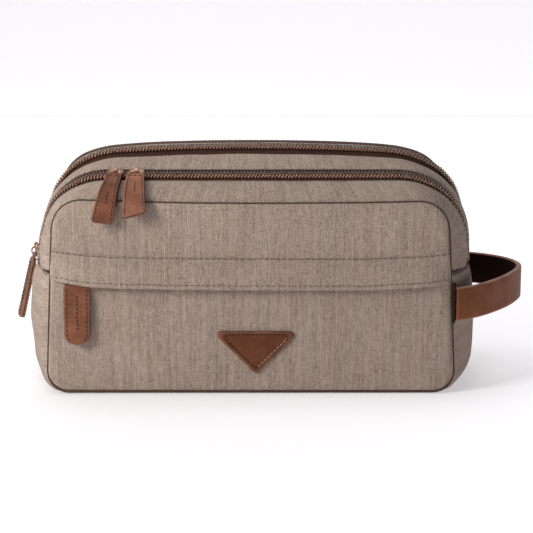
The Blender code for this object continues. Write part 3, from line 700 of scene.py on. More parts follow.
# ---------------------------------------------------------------- flat front and rear panels
def low_outline(inset, n=14):
    """Right half of the lower seam, from z = 73 down round the bottom corner to the middle of the base."""
    pts = [(119.3 - 0.05 * max(z - 12, 0) - inset, z) for z in np.linspace(Z_END, 14.0, n)]
    r = 13.0 - inset
    pts += [(106.2 + r * math.cos(a), 1.0 + 13.0 - r * math.sin(a)) for a in np.linspace(0, math.pi / 2, 20)[1:]]
    pts += [(x, 1.0 + inset) for x in np.linspace(106.2, 0, 40)[1:]]
    return np.array(pts)


def seam_loop(front, inset=0.0):
    """The whole seam of the front or rear panel as a closed (x, z) loop."""
    high = (front_seam(inset) if front else rear_seam(inset))[:, [0, 2]]
    low = low_outline(inset)[1:]
    right_to_middle = low
    left = low[-2::-1] * (-1, 1)
    return np.concatenate([high, right_to_middle, left])


def distance_to(points, loop, closed=True):
    a = loop
    b = np.roll(loop, -1, 0) if closed else loop[1:]
    if not closed:
        a = loop[:-1]
    p = points.reshape(-1, 1, 2)
    ab = (b - a)[None]
    t = np.clip(((p - a[None]) * ab).sum(-1) / np.maximum((ab * ab).sum(-1), 1e-9), 0, 1)
    near = a[None] + ab * t[..., None]
    return np.sqrt(((p - near) ** 2).sum(-1)).min(1).reshape(points.shape[:-1])


def coons(bottom, right, top, left):
    """A grid of quads inside four boundary lines that share their corners. Lines run left to right and upwards."""
    nu, nv = len(bottom), len(left)
    u = np.linspace(0, 1, nu)[None, :, None]
    v = np.linspace(0, 1, nv)[:, None, None]
    g = (1 - v) * bottom[None] + v * top[None] + (1 - u) * left[:, None] + u * right[:, None]
    g -= (1 - u) * (1 - v) * bottom[0] + u * (1 - v) * bottom[-1] + (1 - u) * v * top[0] + u * v * top[-1]
    return g


def split(line, a, b, n):
    """Part of a polyline between its vertices nearest to points a and b, resampled."""
    i = int(np.argmin(((line - a) ** 2).sum(1)))
    j = int(np.argmin(((line - b) ** 2).sum(1)))
    part = line[min(i, j) : max(i, j) + 1]
    if i > j:
        part = part[::-1]
    return resample(part, n)


FRONT_LOOP = seam_loop(True)
REAR_LOOP = seam_loop(False)


def face_depth(x, z, loop, crown, middle=46.0, reach=52.0):
    """How far a flat panel stands out in front of its seam plane, mm."""
    dist = distance_to(np.stack([x, z], -1), loop)
    edge = table(dist, [(0.0, -0.7), (0.45, -0.45), (0.9, 0.15), (1.5, 0.8), (2.4, 1.25), (4.0, 1.6), (7.0, 1.8)])
    swell = (1 - np.exp(-dist / 16.0)) * np.maximum(1 - (np.abs(z - middle) / reach) ** 2.4, 0) * crown
    return edge + swell


def front_surface(x, z):
    """y of the front of the canvas below and above the pocket's zipper."""
    x, z = np.asarray(x, float), np.asarray(z, float)
    return YF - face_depth(x, z, FRONT_LOOP, 0.8)


# upper front: from behind the placket to the arched seam
inner = front_seam(0.35)[:, [0, 2]]
side_low = 70.5
extra = np.array([(116.0 - 0.35, z) for z in np.linspace(side_low, Z_END, 4)[:-1]])
right_line = np.concatenate([extra, inner[::-1][:]])
outline = np.concatenate([extra * (-1, 1), inner, extra[::-1]])
corner_l = outline[np.argmin(np.abs(outline[:, 0] + 109.4) + (outline[:, 1] < 100) * 99)]
corner_r = outline[np.argmin(np.abs(outline[:, 0] - 109.4) + (outline[:, 1] < 100) * 99)]
NU, NV = 130, 40
left = split(outline, outline[0], corner_l, NV)
right = split(outline, outline[-1], corner_r, NV)
top = split(outline, corner_l, corner_r, NU)
bottom = resample([outline[0], outline[-1]], NU)
g = coons(bottom, right, top, left)
x, z = g[..., 0], g[..., 1]
y = YF - face_depth(x, z, FRONT_LOOP, 0.7, 90, 40)
rise = np.where(x < 0, table(-x, [(0, 0), (46, 0.4), (76, 1.0), (93, 1.9), (105, 3.5), (112, 4.3), (117, 5.0)]),
                table(x, [(0, 0), (46, 0.0), (72, 0.2), (83, 0.8), (101, 1.7), (110, 2.4), (116, 3.0)]))
y = y + 2.7 * smooth(81.9 + rise * 0.9 - z, 0.0, 2.2)            # steps back behind the placket
grid = np.stack([x, y, z], -1)
grid[..., 1] -= (ripple(grid, 42.0, 12.0) * 0.42 + ripple(grid, 16.0, 3.0) * 0.12) * smooth(distance_to(g, FRONT_LOOP), 0.8, 8)
uvp = np.stack([grid[..., 0], grid[..., 2]], -1)
piece = cloth("canvas_front_upper", grid, inside=(0, 0, 95), uv=uvp)
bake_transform(piece)
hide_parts("front_panel_upper")

# pocket front: from the base up to its zipper
low = low_outline(0.35)
low_all = np.concatenate([low * (-1, 1), low[-2::-1]])
top_z = 70.2
keep = low_all[low_all[:, 1] <= top_z]
keep = np.concatenate([[(keep[0, 0], top_z)], keep, [(keep[-1, 0], top_z)]])
c_l = keep[np.argmin(np.abs(keep[:, 0] + 115.3) + (keep[:, 1] > 12) * 99)]
c_r = keep[np.argmin(np.abs(keep[:, 0] - 115.3) + (keep[:, 1] > 12) * 99)]
left = split(keep, c_l, keep[0], 44)
right = split(keep, c_r, keep[-1], 44)
bottom = split(keep, c_l, c_r, NU)
top = resample([keep[0], keep[-1]], NU)
g = coons(bottom, right, top, left)
x, z = g[..., 0], g[..., 1]
y = YF - face_depth(x, z, FRONT_LOOP, 0.9, 36, 44)
grid = np.stack([x, y, z], -1)
grid[..., 1] -= (ripple(grid, 46.0, 21.0) * 0.5 + ripple(grid, 17.0, 8.0) * 0.13) * smooth(distance_to(g, FRONT_LOOP), 0.8, 8)
hem = np.stack([grid[-1] + (0, 0.35, 0.35), grid[-1] + (0, 0.95, 0.1), grid[-1] + (0, 1.2, -2.0)])
grid = np.concatenate([grid, hem])
POCKET = grid
piece = cloth("canvas_pocket_front", grid, inside=(0, 0, 40), uv=np.stack([grid[..., 0], grid[..., 2]], -1), thick=0.7)
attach(piece, "bag_body")
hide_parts("pocket_front")

# rear panel, one piece from the base to the arched seam
inner = rear_seam(0.35)[:, [0, 2]]
low_all = np.concatenate([low * (-1, 1), low[-2::-1]])
c_l = low_all[np.argmin(np.abs(low_all[:, 0] + 115.3) + (low_all[:, 1] > 12) * 99)]
c_r = c_l * (-1, 1)
t_l = inner[np.argmin(np.abs(inner[:, 0] + 112.8) + (inner[:, 1] < 110) * 99)]
t_r = t_l * (-1, 1)
right_side = np.concatenate([low_all[low_all[:, 0] > 0][::1][-len(low):][::1]])
left_full = np.concatenate([low * (-1, 1)])[::-1]
left_line = np.concatenate([left_full, inner[1 : NS + NA + 2]])
left = split(left_line, c_l, t_l, 70)
right = left * (-1, 1)
bottom = split(low_all, c_l, c_r, NU)
top = split(inner, t_l, t_r, NU)
g = coons(bottom, right, top, left)
x, z = g[..., 0], g[..., 1]
y = -YF + face_depth(x, z, REAR_LOOP, 1.6, 62, 66)
grid = np.stack([x, y, z], -1)
grid[..., 1] += (ripple(grid, 50.0, 31.0) * 0.6 + ripple(grid, 18.0, 2.0) * 0.15) * smooth(distance_to(g, REAR_LOOP), 0.8, 8)
piece = cloth("canvas_rear_panel", grid, inside=(0, 0, 60), uv=np.stack([grid[..., 0], grid[..., 2]], -1))
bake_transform(piece)
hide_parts("rear_panel_lower", "rear_panel_upper")


# ---------------------------------------------------------------- piping in the front and rear seams
def piping(name, loop, depth, nodes, thick, thin, inset=0.45, mat=PIPING_AND_SEAM_SHADE):
    path = resample(np.concatenate([loop, loop[:1]]), step=1.5)[:-1]
    tan = unit(np.roll(path, -1, 0) - np.roll(path, 1, 0))
    path = path + np.stack([tan[:, 1], -tan[:, 0]], 1) * inset
    p = np.stack([path[:, 0], np.full(len(path), YF + depth), path[:, 1]], 1)
    # thicker along the base, where the dark cord also stands in for painted shade under the bottom edge
    r = thin + (thick - thin) * (1 - smooth(path[:, 1], 3.0, 12.0))
    # the twisted cover of the cord
    s = np.arange(len(p)) * 1.5
    r = r * (1 + 0.07 * np.sin(s * 2 * math.pi / 3.3) + 0.06 * ripple(p, 6.0, 3.0, 1))
    v, f = tube_data(p, r, 8, True, (0, 1, 0))
    uv = np.stack([np.repeat(s, 8), np.tile(np.arange(8) * 0.8, len(s))], 1)
    piece = mesh_object(name, v, f, uv, (mat,))
    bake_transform(piece)
    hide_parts(*nodes)


piping("piping_front", FRONT_LOOP, 0.25, ("front_piping_lower", "front_piping_upper"), 1.05, 0.46)
piping("piping_rear", REAR_LOOP, DEPTH - 0.2, ("rear_piping_lower", "rear_piping_upper"), 1.0, 0.95, 0.2, PIPING_REAR_LIT)

# ---------------------------------------------------------------- topstitching on the arched strips
def top_stitch(name, grid, row, mat=THREAD_CANVAS, pitch=2.9, length=2.1, r=0.33):
    line = grid[row] + outward(grid[row]) * 0.2
    v, f = stitches(resample(line, step=1.5), pitch, length, r, (0, 0, 1))
    piece = mesh_object(name, v, f, None, (mat,))
    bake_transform(piece)


top_stitch("stitch_front_gusset", FRONT_STRIP, -8)
top_stitch("stitch_rear_gusset", REAR_STRIP, 7)


# ---------------------------------------------------------------- zippers
def zip_frames(strip, step):
    """Evenly spaced points along a zipper strip's middle, with unit vectors across it and above it."""
    c, a, h = (zip_line(strip, *q) for q in ((0, 0), (1, 0), (0, 1)))
    full = np.concatenate([c, a - c, h - c], 1)
    s = np.concatenate([[0], np.cumsum(np.linalg.norm(np.diff(c, axis=0), axis=1))])
    t = np.linspace(0, s[-1], max(int(round(s[-1] / step)), 2) + 1)
    full = np.stack([np.interp(t, s, full[:, k]) for k in range(9)], 1)
    return full[:, :3], unit(full[:, 3:6]), unit(full[:, 6:]), t


def coil(name, strip, side, mat, body, flap, nodes, pitch=2.05, steps=14, shift=(0.0, 0.0)):
    """One half of a nylon coil: a flattened helix sewn along its tape."""
    c, a, h, t = zip_frames(strip, pitch / steps)
    phase = t / pitch * 2 * math.pi * side
    wobble = 1 + 0.05 * np.sin(t * 0.9)
    ell_a = 1.55 * np.cos(phase) * wobble
    ell_h = 0.72 * np.sin(phase)
    p = c + a * (side * 1.78 + ell_a + shift[0])[:, None] + h * (0.55 + ell_h + shift[1])[:, None]
    # it lies deeper between the gussets as it comes down the sides
    turn = np.arctan2(np.maximum(np.abs(c[:, 0]) - strip["cx"], 0), np.maximum(c[:, 2] - Z_ARC, 1e-6))
    p = p - h * (1.15 * smooth(turn, math.radians(45), math.radians(85)))[:, None]
    v, f = tube_data(settle(p), 0.35, 6, False, (0, 1, 0.2))
    piece = mesh_object(name, v, f, None, (mat,))
    if flap:
        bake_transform(piece)
    else:
        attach(piece, body)
    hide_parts(*nodes)


def tape(name, strip, side, lo, hi, body, flap, nodes, drop=-0.75):
    lines = [zip_line(strip, side * w, hgt) for w, hgt in
             ((lo, drop - 0.15), (lo + 0.5, drop), ((lo + hi) / 2 - 1, drop + 0.02), ((lo + hi) / 2 + 1, drop), (hi, drop - 0.25))]
    grid = settle(np.array(lines))
    piece = sheet(name, grid, length_uv(grid), (TAPE,), INSIDE, 0.5)
    if flap:
        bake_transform(piece)
    else:
        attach(piece, body)
    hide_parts(*nodes)


coil("coil_front_a", ZIP_FRONT, -1, COIL, "front_flap", "front_flap", ("front_zip_teeth_front",), 1.98)
coil("coil_front_b", ZIP_FRONT, 1, COIL_BACK_SHEEN, "bag_body", None, ("front_zip_teeth_rear",), 1.98)
coil("coil_rear_a", ZIP_REAR, -1, COIL, "bag_body", None, ("rear_zip_teeth_front",), 1.95, 14, (1.2, 0.45))
coil("coil_rear_b", ZIP_REAR, 1, COIL_BACK_SHEEN, "rear_flap", "rear_flap", ("rear_zip_teeth_rear",), 1.95, 14, (1.2, 0.45))
tape("tape_front_a", ZIP_FRONT, -1, 0.15, 9.0, "front_flap", "front_flap", ("front_zip_tape_front",))
tape("tape_front_b", ZIP_FRONT, 1, 0.15, 9.0, "bag_body", None, ("front_zip_tape_rear",))
tape("tape_rear_a", ZIP_REAR, -1, 0.15, 10.5, "bag_body", None, ("rear_zip_tape_front",))
tape("tape_rear_b", ZIP_REAR, 1, 0.15, 8.0, "rear_flap", "rear_flap", ("rear_zip_tape_rear",))

# the pocket's zipper, flat behind the placket
for name, z0, z1, node in (("tape_pocket_low", 66.5, 75.0, "pocket_zip_tape_lower"), ("tape_pocket_high", 75.2, 81.6, "pocket_zip_tape_upper")):
    zz = np.linspace(z0, z1, 7)
    xx = np.linspace(-110.0, 110.0, 60)
    gx, gz = np.meshgrid(xx, zz)
    grid = np.stack([gx, np.full_like(gx, YF + 1.9), gz], -1)
    piece = sheet(name, grid, np.stack([gx, gz], -1), (TAPE,), (0, 0, 75), 0.5)
    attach(piece, "bag_body")
    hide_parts(node)
parts = []
for side in (-1, 1):
    t = np.arange(-109.0, 109.0, 2.05 / 12)
    ph = t / 2.05 * 2 * math.pi * side
    p = np.stack([t, YF + 1.2 - 0.5 * np.sin(ph), 75.1 + side * 1.5 + 1.25 * np.cos(ph)], 1)
    parts.append(tube_data(p, 0.36, 5, False, (0, 1, 0.2)))
v, f = join_data(parts)
piece = mesh_object("coil_pocket", v, f, None, (COIL,))
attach(piece, "bag_body")
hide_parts("pocket_zip_teeth")

# ---------------------------------------------------------------- placket over the pocket's zipper
LIFT_L = [(0, 0), (46, 0.4), (76, 1.0), (93, 1.9), (105, 3.5), (112, 4.3), (117, 5.0)]
LIFT_R = [(0, 0), (46, 0.0), (72, 0.2), (83, 0.8), (101, 1.7), (110, 2.4), (116, 3.0)]


def end_lift(x):
    return np.where(x < 0, table(-x, LIFT_L), table(x, LIFT_R))


xs = np.concatenate([[-115.7, -115.2, -114.4], np.linspace(-113.2, 113.2, 120), [114.4, 115.2, 115.7]])
section = [(-1.6, 0.3), (-0.6, 0.75), (0.0, 1.55), (0.25, 2.35), (0.8, 2.85), (1.9, 3.15), (3.6, 3.75), (6.0, 4.55), (9.0, 5.05), (12.0, 5.35),
           (14.2, 5.45), (15.2, 5.25), (15.8, 5.4), (16.8, 5.6), (17.5, 5.55), (17.95, 5.5), (17.9, 5.45), (17.4, 5.4), (15.0, 5.35), (12.5, 5.3)]
turned = [0.0] * 15 + [0.4, 0.95, 1.3, 1.3, 1.3]      # the hem folded back behind the edge
grid = np.empty((len(section), len(xs), 3))
base = face_depth(xs, 83.0 + end_lift(xs) * 0.9, FRONT_LOOP, 0.7, 90, 40)
for i, (fall, stand) in enumerate(section):
    lift = end_lift(xs)
    z = 81.6 - fall + lift * (0.9 + 0.12 * fall / 17.6)
    near = 1 - smooth(np.abs(xs), 90, 115.6)
    y = YF - base - 0.45 * (stand > 1.0) + (0.9 if stand < 1.0 else 0.0) - max(stand - 2.85, 0.0) * 0.95 * (0.35 + 0.65 * near)
    y = y + np.where(np.abs(xs) > 114.9, 0.5, 0.0) + turned[i]
    grid[i] = np.stack([xs, y, z], 1)
grid[..., 1] -= (ripple(grid, 30.0, 41.0) * 0.38 + ripple(grid, 11.0, 6.0) * 0.10) * np.array([0.1, 0.2, 0.4, 0.6, 0.8] + [1.0] * 15)[:, None]
grid[..., 2] += (ripple(grid, 36.0, 17.0) * 0.35) * np.linspace(0.3, 1, len(section))[:, None]
uvp = np.stack([np.broadcast_to(xs, grid.shape[:2]), 81.6 - np.array([s[0] for s in section])[:, None] + np.zeros((1, len(xs)))], -1)
grid[..., 1] -= 1.95 * (1 - smooth(np.abs(grid[..., 0]), 102.5, 114.0)) * smooth(81.0 - grid[..., 2], 0, 6)   # room for the tab
PLACKET = grid
piece = cloth("canvas_placket", grid, inside=(0, 60, 75), uv=uvp, thick=0.6)
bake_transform(piece)
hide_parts("pocket_flap")

line = PLACKET[4, 1:-1] + (0, -0.12, 0.5)
v, f = stitches(resample(line, step=1.5), 3.4, 2.5, 0.24, (0, -1, 0))
piece = mesh_object("stitch_placket_top", v, f, None, (THREAD,))
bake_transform(piece)
line = PLACKET[11, 1:-1] + (0, -0.14, 0)
v, f = stitches(resample(line, step=1.5), 3.1, 2.1, 0.27, (0, -1, 0))
piece = mesh_object("stitch_placket_low", v, f, None, (THREAD_CANVAS,))
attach(piece, "pocket_flap")


# ---------------------------------------------------------------- leather pulls
def slab(name, spans, thick, place, mats, body, nodes=(), rim=0.32, columns=12, slant=0.0):
    """A leather strip: spans are (distance down, left edge, right edge). place(distance, sideways, out) gives points."""
    spans = np.asarray(spans, float)
    rows = []
    half = thick / 2
    u = np.linspace(0, 1, columns)
    for s, lo, hi in spans:
        w0, w1 = lo + rim, hi - rim
        top = [(w0 + (w1 - w0) * k, half) for k in u]
        right = [(hi - rim * 0.3, half - rim * 0.3), (hi, half - rim), (hi, 0.0), (hi, -half + rim), (hi - rim * 0.3, -half + rim * 0.3)]
        low = [(w1 + (w0 - w1) * k, -half) for k in u]
        left = [(lo + rim * 0.3, -half + rim * 0.3), (lo, -half + rim), (lo, 0.0), (lo, half - rim), (lo + rim * 0.3, half - rim * 0.3)]
        loop = top + right + low + left
        rows.append([place(s + slant * (w - 0.0), w, t) for w, t in loop])
    rows = np.array(rows)
    n, m = rows.shape[:2]
    verts = rows.reshape(-1, 3)
    faces = grid_faces(n, m, False, True)
    index = []
    for i in range(n - 1):
        for j in range(m):
            edge = columns - 1 <= j < columns + 5 or j >= 2 * columns + 4
            index.append(1 if edge else 0)
    caps = [tuple(range(m)), tuple((n - 1) * m + k for k in range(m))[::-1]]
    faces += caps
    index += [1, 1]
    obj = mesh_object(name, verts, faces, None, mats, index)
    obj.data.set_sharp_from_angle(angle=math.radians(48))
    bm = bmesh.new()
    bm.from_mesh(obj.data)
    bmesh.ops.recalc_face_normals(bm, faces=bm.faces)
    bm.to_mesh(obj.data)
    bm.free()
    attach(obj, body)
    if nodes:
        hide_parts(*nodes)
    return obj


def rim_line(spans, place, out=0.0, push=0.06):
    spans = np.asarray(spans, float)
    left = [(s, lo - push) for s, lo, hi in spans]
    right = [(s, hi + push) for s, lo, hi in spans]
    end = spans[-1]
    bottom = [(end[0] + push, w) for w in np.linspace(end[1], end[2], 8)[1:-1]]
    loop = left + bottom + right[::-1]
    return np.array([place(s, w, out) for s, w in loop])


def end_spans(top_w, low_w, start, length, corner, steps=8, round_end=None):
    """Spans down a pull, with rounded corners at its end, or a rounded end."""
    out = []
    L = start + length
    r = round_end or corner
    for s in np.linspace(start, L - r, 16):
        w = (top_w + (low_w - top_w) * (s - start) / length) / 2
        k = smooth(s, start - 0.01, start + 0.8)
        w = w - 0.5 * (1 - k)
        out.append((s, -w, w))
    for k in range(1, steps + 1):
        a = math.pi / 2 * k / steps
        s = L - r + r * math.sin(a)
        w = (top_w + (low_w - top_w) * (s - start) / length) / 2
        w = w - r + r * math.cos(a)
        w = max(w, 0.3)
        out.append((s, -w, w))
    return out


def bent_path(points):
    """A function from distance to (y, z) and the outward normal, along a smooth line."""
    line = resample(catmull(points, 12), step=0.5)
    tan = unit(np.gradient(line, axis=0))
    s = np.arange(len(line)) * 0.5 * (np.linalg.norm(line[1] - line[0]) / 0.5)

    def at(d):
        y, z = np.interp(d, s, line[:, 0]), np.interp(d, s, line[:, 1])
        ty, tz = np.interp(d, s, tan[:, 0]), np.interp(d, s, tan[:, 1])
        if d > s[-1]:
            y, z = y + ty * (d - s[-1]), z + tz * (d - s[-1])
        k = math.hypot(ty, tz)
        return y, z, tz / k, -ty / k

    return at


def swung(x0, path, swing):
    """Place function of a pull that hangs along a path in the YZ plane and turns sideways by swing degrees."""
    c, s = math.cos(math.radians(swing)), math.sin(math.radians(swing))

    def drop(d):
        # how far down the front it has come, which is slow at first while it lies over the top
        y, z, _, _ = path(d)
        return -0.208 * y - 0.978 * z

    full = 40.0 / (drop(40.0) - drop(0.0))

    def place(d, w, out):
        along = d * c - w * s
        side = w * c + (drop(d) - drop(0.0)) * full * s
        y, z, ny, nz = path(along)
        return np.array([x0 + side, y + ny * out, z + nz * out])

    return place


def straight(origin, x_axis, y_axis, z_axis):
    o, X, Y, Z = (np.asarray(q, float) for q in (origin, x_axis, y_axis, z_axis))

    def place(d, w, out):
        return o + X * w + Y * out - Z * d

    return place


def pull_details(name, spans, thick, place, body, front=1, margin=1.35, mat=THREAD_LEATHER, column=None, cross=None, pitch=2.35, back=True):
    """Edge stitching, a short middle column of stitches and the dark glue line between the two layers."""
    spans = np.asarray(spans, float)
    parts = []
    for face in ((front, -front) if back else (front,)):
        t = face * (thick / 2 + 0.02)
        base = spans[spans[:, 0] <= spans[-1, 0] - margin * 0.9]
        for side in (1, 2):
            w = base[:, side] + (margin if side == 1 else -margin)
            keep = base[:, 2] - base[:, 1] > margin * 2.4
            line = np.array([place(s, q, t) for (s, _, _), q, ok in zip(base, w, keep) if ok and s > spans[0, 0] + 1.0])
            up = place(spans[5, 0], 0, t + face) - place(spans[5, 0], 0, t)
            parts.append(stitches(resample(line, step=0.8), pitch, pitch * 0.62, 0.33, up))
        if cross:
            for s in cross:
                i = int(np.argmin(np.abs(spans[:, 0] - s)))
                lo, hi = spans[i, 1] + margin, spans[i, 2] - margin
                line = np.array([place(s, q, t) for q in np.linspace(lo, hi, 8)])
                parts.append(stitches(line, pitch, pitch * 0.62, 0.33, up))
        if column and face == front:
            s0, s1, w = column
            line = np.array([place(s, w, t) for s in np.linspace(s0, s1, 12)])
            parts.append(stitches(line, 2.1, 1.35, 0.4, up))
    v, f = join_data(parts)
    obj = mesh_object(name + "_stitches", v, f, None, (mat,))
    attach(obj, body)
    loop = rim_line(spans, place)
    v, f = tube_data(resample(loop, step=0.7), 0.17, 5, False, (0.3, 0.9, 0.2))
    obj = mesh_object(name + "_layers", v, f, None, (GLUE,))
    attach(obj, body)


def wire_ring(name, corners, radius, wire, place, body, nodes):
    """A rectangular wire ring with rounded corners. corners are (sideways, distance down)."""
    pts = []
    n = len(corners)
    for i in range(n):
        p, a, b = (np.array(corners[k % n], float) for k in (i, i - 1, i + 1))
        da, db = unit(a - p), unit(b - p)
        s, e = p + da * radius, p + db * radius
        for k in range(6):
            t = k / 5
            pts.append(s * (1 - t) ** 2 + p * 2 * t * (1 - t) + e * t**2)
    line = resample(np.array(pts + pts[:1]), step=0.45)[:-1]
    p = np.array([place(d, w, 0.0) for w, d in line])
    v, f = tube_data(p, wire, 8, True, (0.2, 0.9, 0.35))
    obj = mesh_object(name, v, f, None, (METAL,))
    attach(obj, body)
    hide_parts(*nodes)
    return obj


LEATHERS = (LEATHER, LEATHER_EDGE)
tilt = math.radians(ZIP_FRONT["tilt"])
across1 = np.array([0, math.cos(tilt), math.sin(tilt)])
above1 = np.array([0, -math.sin(tilt), math.cos(tilt)])
top1 = np.array([0, YF + ZIP_FRONT["y"], Z_ARC + ZIP_FRONT["r"]])

HANG = {
    "left": ((-29.09, 127.87), (-36.0, 125.5), (-45.0, 122.2), (-52.3, 118.7), (-57.0, 114.0), (-60.2, 108.6), (-62.6, 102.6)),
    "right": ((-29.09, 127.87), (-36.0, 125.6), (-45.0, 122.2), (-52.5, 118.6), (-58.0, 114.6), (-62.4, 110.6), (-66.4, 106.4)),
}
for name, x, swing in (("left", -80.3, -6.0), ("right", -68.3, 1.9)):
    path = bent_path(HANG[name])
    place = swung(x, path, swing)
    spans = end_spans(8.8, 12.6, 3.2, 40.2, 2.2) if name == "left" else end_spans(10.2, 13.2, 3.2, 38.3, 2.2)
    slant = 0.0 if name == "left" else -0.16
    spans = [(s, lo, hi) for s, lo, hi in spans]
    shape = place
    if name == "left":
        def shape(d, w, out, base=place, path=path):
            k = (path(0)[1] * 0.978 + path(0)[0] * 0.208 - path(d)[1] * 0.978 - path(d)[0] * 0.208) / 29.0 * 40.0
            return base(d, w * (8.8 + 0.095 * k) / (8.8 + 0.095 * d), out)
    if name == "right":
        # its end is cut at a slant, up to the right
        def shape(d, w, out, base=place):
            k = smooth(d, 30.0, 41.5)
            return base(d - 0.28 * k * (w + 2.0), w, out)
    slab(f"pull_front_{name}", spans, 2.7, shape, (LEATHER_DARK if name == "left" else LEATHER_LIGHT, LEATHER_EDGE), f"front_pull_{name}", (f"front_pull_{name}",))
    pull_details(f"pull_front_{name}", spans, 2.7, shape, f"front_pull_{name}", 1, column=(24.0, 32.5, 0.2) if name == "left" else (14.0, 24.0, 0.2), cross=(6.2,))
    wire_ring(f"ring_front_{name}", [(-3.5, -0.1), (3.5, -0.1), (3.5, 6.4), (-3.5, 6.4)], 1.0, 0.62, place, f"front_pull_{name}", (f"front_ring_{name}",))

# rear pull, hanging out from the left end of the rear zipper
hinge = np.array([-133.9, 6.784, 72.429])
down = unit(np.array([-0.2226, -0.0873, -0.9710]))
axis = unit(np.array([-0.22923, 0.90646, -0.02896]))
z_axis = -down
y_axis = np.cross(z_axis, axis)
place = straight(hinge, axis, y_axis, z_axis)
spans = end_spans(9.7, 13.0, 3.2, 37.0, 2.2)
slab("pull_rear", spans, 2.9, place, (PATCH, LEATHER_EDGE), "rear_pull", ("rear_pull",))
pull_details("pull_rear", spans, 2.9, place, "rear_pull", 1, cross=(6.2,), column=(22.0, 31.0, 0.0))
wire_ring("ring_rear", [(-3.3, 0.0), (3.3, 0.0), (3.3, 6.4), (-3.3, 6.4)], 1.0, 0.6, place, "rear_pull", ("rear_ring",))

# the pocket's tab, which hangs out below the placket
hinge = np.array([-100.3, YF - 3.2, 73.5])
a = math.radians(-4.6)
place = straight(hinge, (1, 0, 0), (0, -math.cos(a), -math.sin(a)), (0, -math.sin(a), math.cos(a)))
spans = end_spans(14.6, 14.8, 7.2, 34.8, 6.0, 12, 6.4)
slab("pull_pocket", spans, 2.5, place, LEATHERS, "pocket_pull", ("pocket_pull",))
pull_details("pull_pocket", spans, 2.5, place, "pocket_pull", 1, margin=1.7, column=(13.0, 34.0, 0.2), pitch=2.6, back=False)
wire_ring("ring_pocket", [(-3.3, 0.0), (3.3, 0.0), (3.3, 9.8), (-3.3, 9.8)], 1.0, 0.6, place, "pocket_pull", ("pocket_ring",))


# ---------------------------------------------------------------- sliders
def slider(name, origin, chain, across, above, along, body, node, post=0.0):
    """A coil zipper slider: a domed, waisted top plate with turned-down flanges and an arched bail."""
    o, C, A, H = (np.asarray(q, float) for q in (origin, chain, across, above))
    parts = []
    # top plate, wide at the divider end and narrower at the closing end
    rows, cols = 15, 15
    for level in (0,):
        verts = []
        for i in range(rows):
            u = -4.7 + 9.4 * i / (rows - 1)
            e = abs(u) / 4.7
            half = (4.15 - 0.75 * smooth(u, 0.5, 4.7)) * (1 - max(e - 0.72, 0) ** 2 * 5.2)
            section = [(-half, 0.15), (-half - 0.1, 1.0), (-half + 0.25, 1.75), (-half + 0.9, 2.15), (-half * 0.45, 2.4), (0, 2.5),
                       (half * 0.45, 2.4), (half - 0.9, 2.15), (half - 0.25, 1.75), (half + 0.1, 1.0), (half, 0.15),
                       (half - 0.55, 0.15), (half - 0.7, 1.3), (0, 1.55), (-half + 0.7, 1.3), (-half + 0.55, 0.15)]
            end = smooth(e, 0.86, 1.0) * 0.5
            verts.append([o + C * u + A * w + H * (hh - end * (hh > 1.2)) for w, hh in section])
        verts = np.array(verts)
        m = verts.shape[1]
        faces = grid_faces(rows, m, False, True)
        faces += [tuple(range(m))[::-1], tuple((rows - 1) * m + k for k in range(m))]
        parts.append((verts.reshape(-1, 3), faces))
    if post:
        # the divider between its plates, down through the two rows of coil
        block = np.array([o + C * (u * 1.3) + A * (w * 1.9) + H * hh for hh in (1.5, -post) for u, w in ((-1, -1), (1, -1), (1, 1), (-1, 1))])
        parts.append((block, [(0, 1, 2, 3), (7, 6, 5, 4), (0, 4, 5, 1), (1, 5, 6, 2), (2, 6, 7, 3), (3, 7, 4, 0)]))
    # bail: a flat arch over the middle, through which the ring passes
    D = C if along else A
    W = A if along else C
    arch = catmull([(-3.4, 2.0), (-3.1, 3.3), (-2.2, 4.25), (-0.6, 4.6), (0.9, 4.35), (1.9, 3.4), (2.3, 2.0)], 5)
    loop_rows = []
    tan = unit(np.gradient(arch, axis=0))
    nrm = np.stack([-tan[:, 1], tan[:, 0]], 1)
    for p, q in zip(arch, nrm):
        ring = []
        for w, k in ((-1.25, -0.25), (-1.05, 0.32), (1.05, 0.32), (1.25, -0.25), (1.05, -0.4), (-1.05, -0.4)):
            ring.append(o + D * (p[0] + q[0] * k) + W * w + H * (p[1] + q[1] * k))
        loop_rows.append(ring)
    loop_rows = np.array(loop_rows)
    n, m = loop_rows.shape[:2]
    parts.append((loop_rows.reshape(-1, 3), grid_faces(n, m, False, True) + [tuple(range(m))[::-1], tuple((n - 1) * m + k for k in range(m))]))
    v, f = join_data(parts)
    obj = mesh_object(name, v, f, None, (METAL,))
    obj.data.set_sharp_from_angle(angle=math.radians(40))
    bm = bmesh.new()
    bm.from_mesh(obj.data)
    bmesh.ops.recalc_face_normals(bm, faces=bm.faces)
    bm.to_mesh(obj.data)
    bm.free()
    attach(obj, body)
    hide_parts(node)


slider("slider_front_left", top1 + (-80.3, 0, 0), (1, 0, 0), across1, above1, False, "front_slider_left", "front_slider_left")
slider("slider_front_right", top1 + (-68, 0, 0), (-1, 0, 0), across1, above1, False, "front_slider_right", "front_slider_right")
ang = math.radians(97.2)
tilt2 = math.radians(ZIP_REAR["tilt"])


def turn(v):
    c, s = math.cos(-ang), math.sin(-ang)
    x, y, z = v
    return np.array([x * c + z * s, y, -x * s + z * c])


across2 = turn((0, math.cos(tilt2), math.sin(tilt2)))
above2 = turn((0, -math.sin(tilt2), math.cos(tilt2)))
chain2 = turn((1, 0, 0))
centre2 = np.array([-ZIP_REAR["cx"] + 2.4, YF + ZIP_REAR["y"], Z_ARC]) + turn((0, 0, ZIP_REAR["r"] + 2.6))
slider("slider_rear", centre2, chain2, across2, above2, True, "rear_slider", "rear_slider", 4.2)
slider("slider_pocket", (-100.8, YF + 1.6, 75.1), (1, 0, 0), (0, 0, 1), (0, -1, 0), False, "pocket_slider", "pocket_slider")

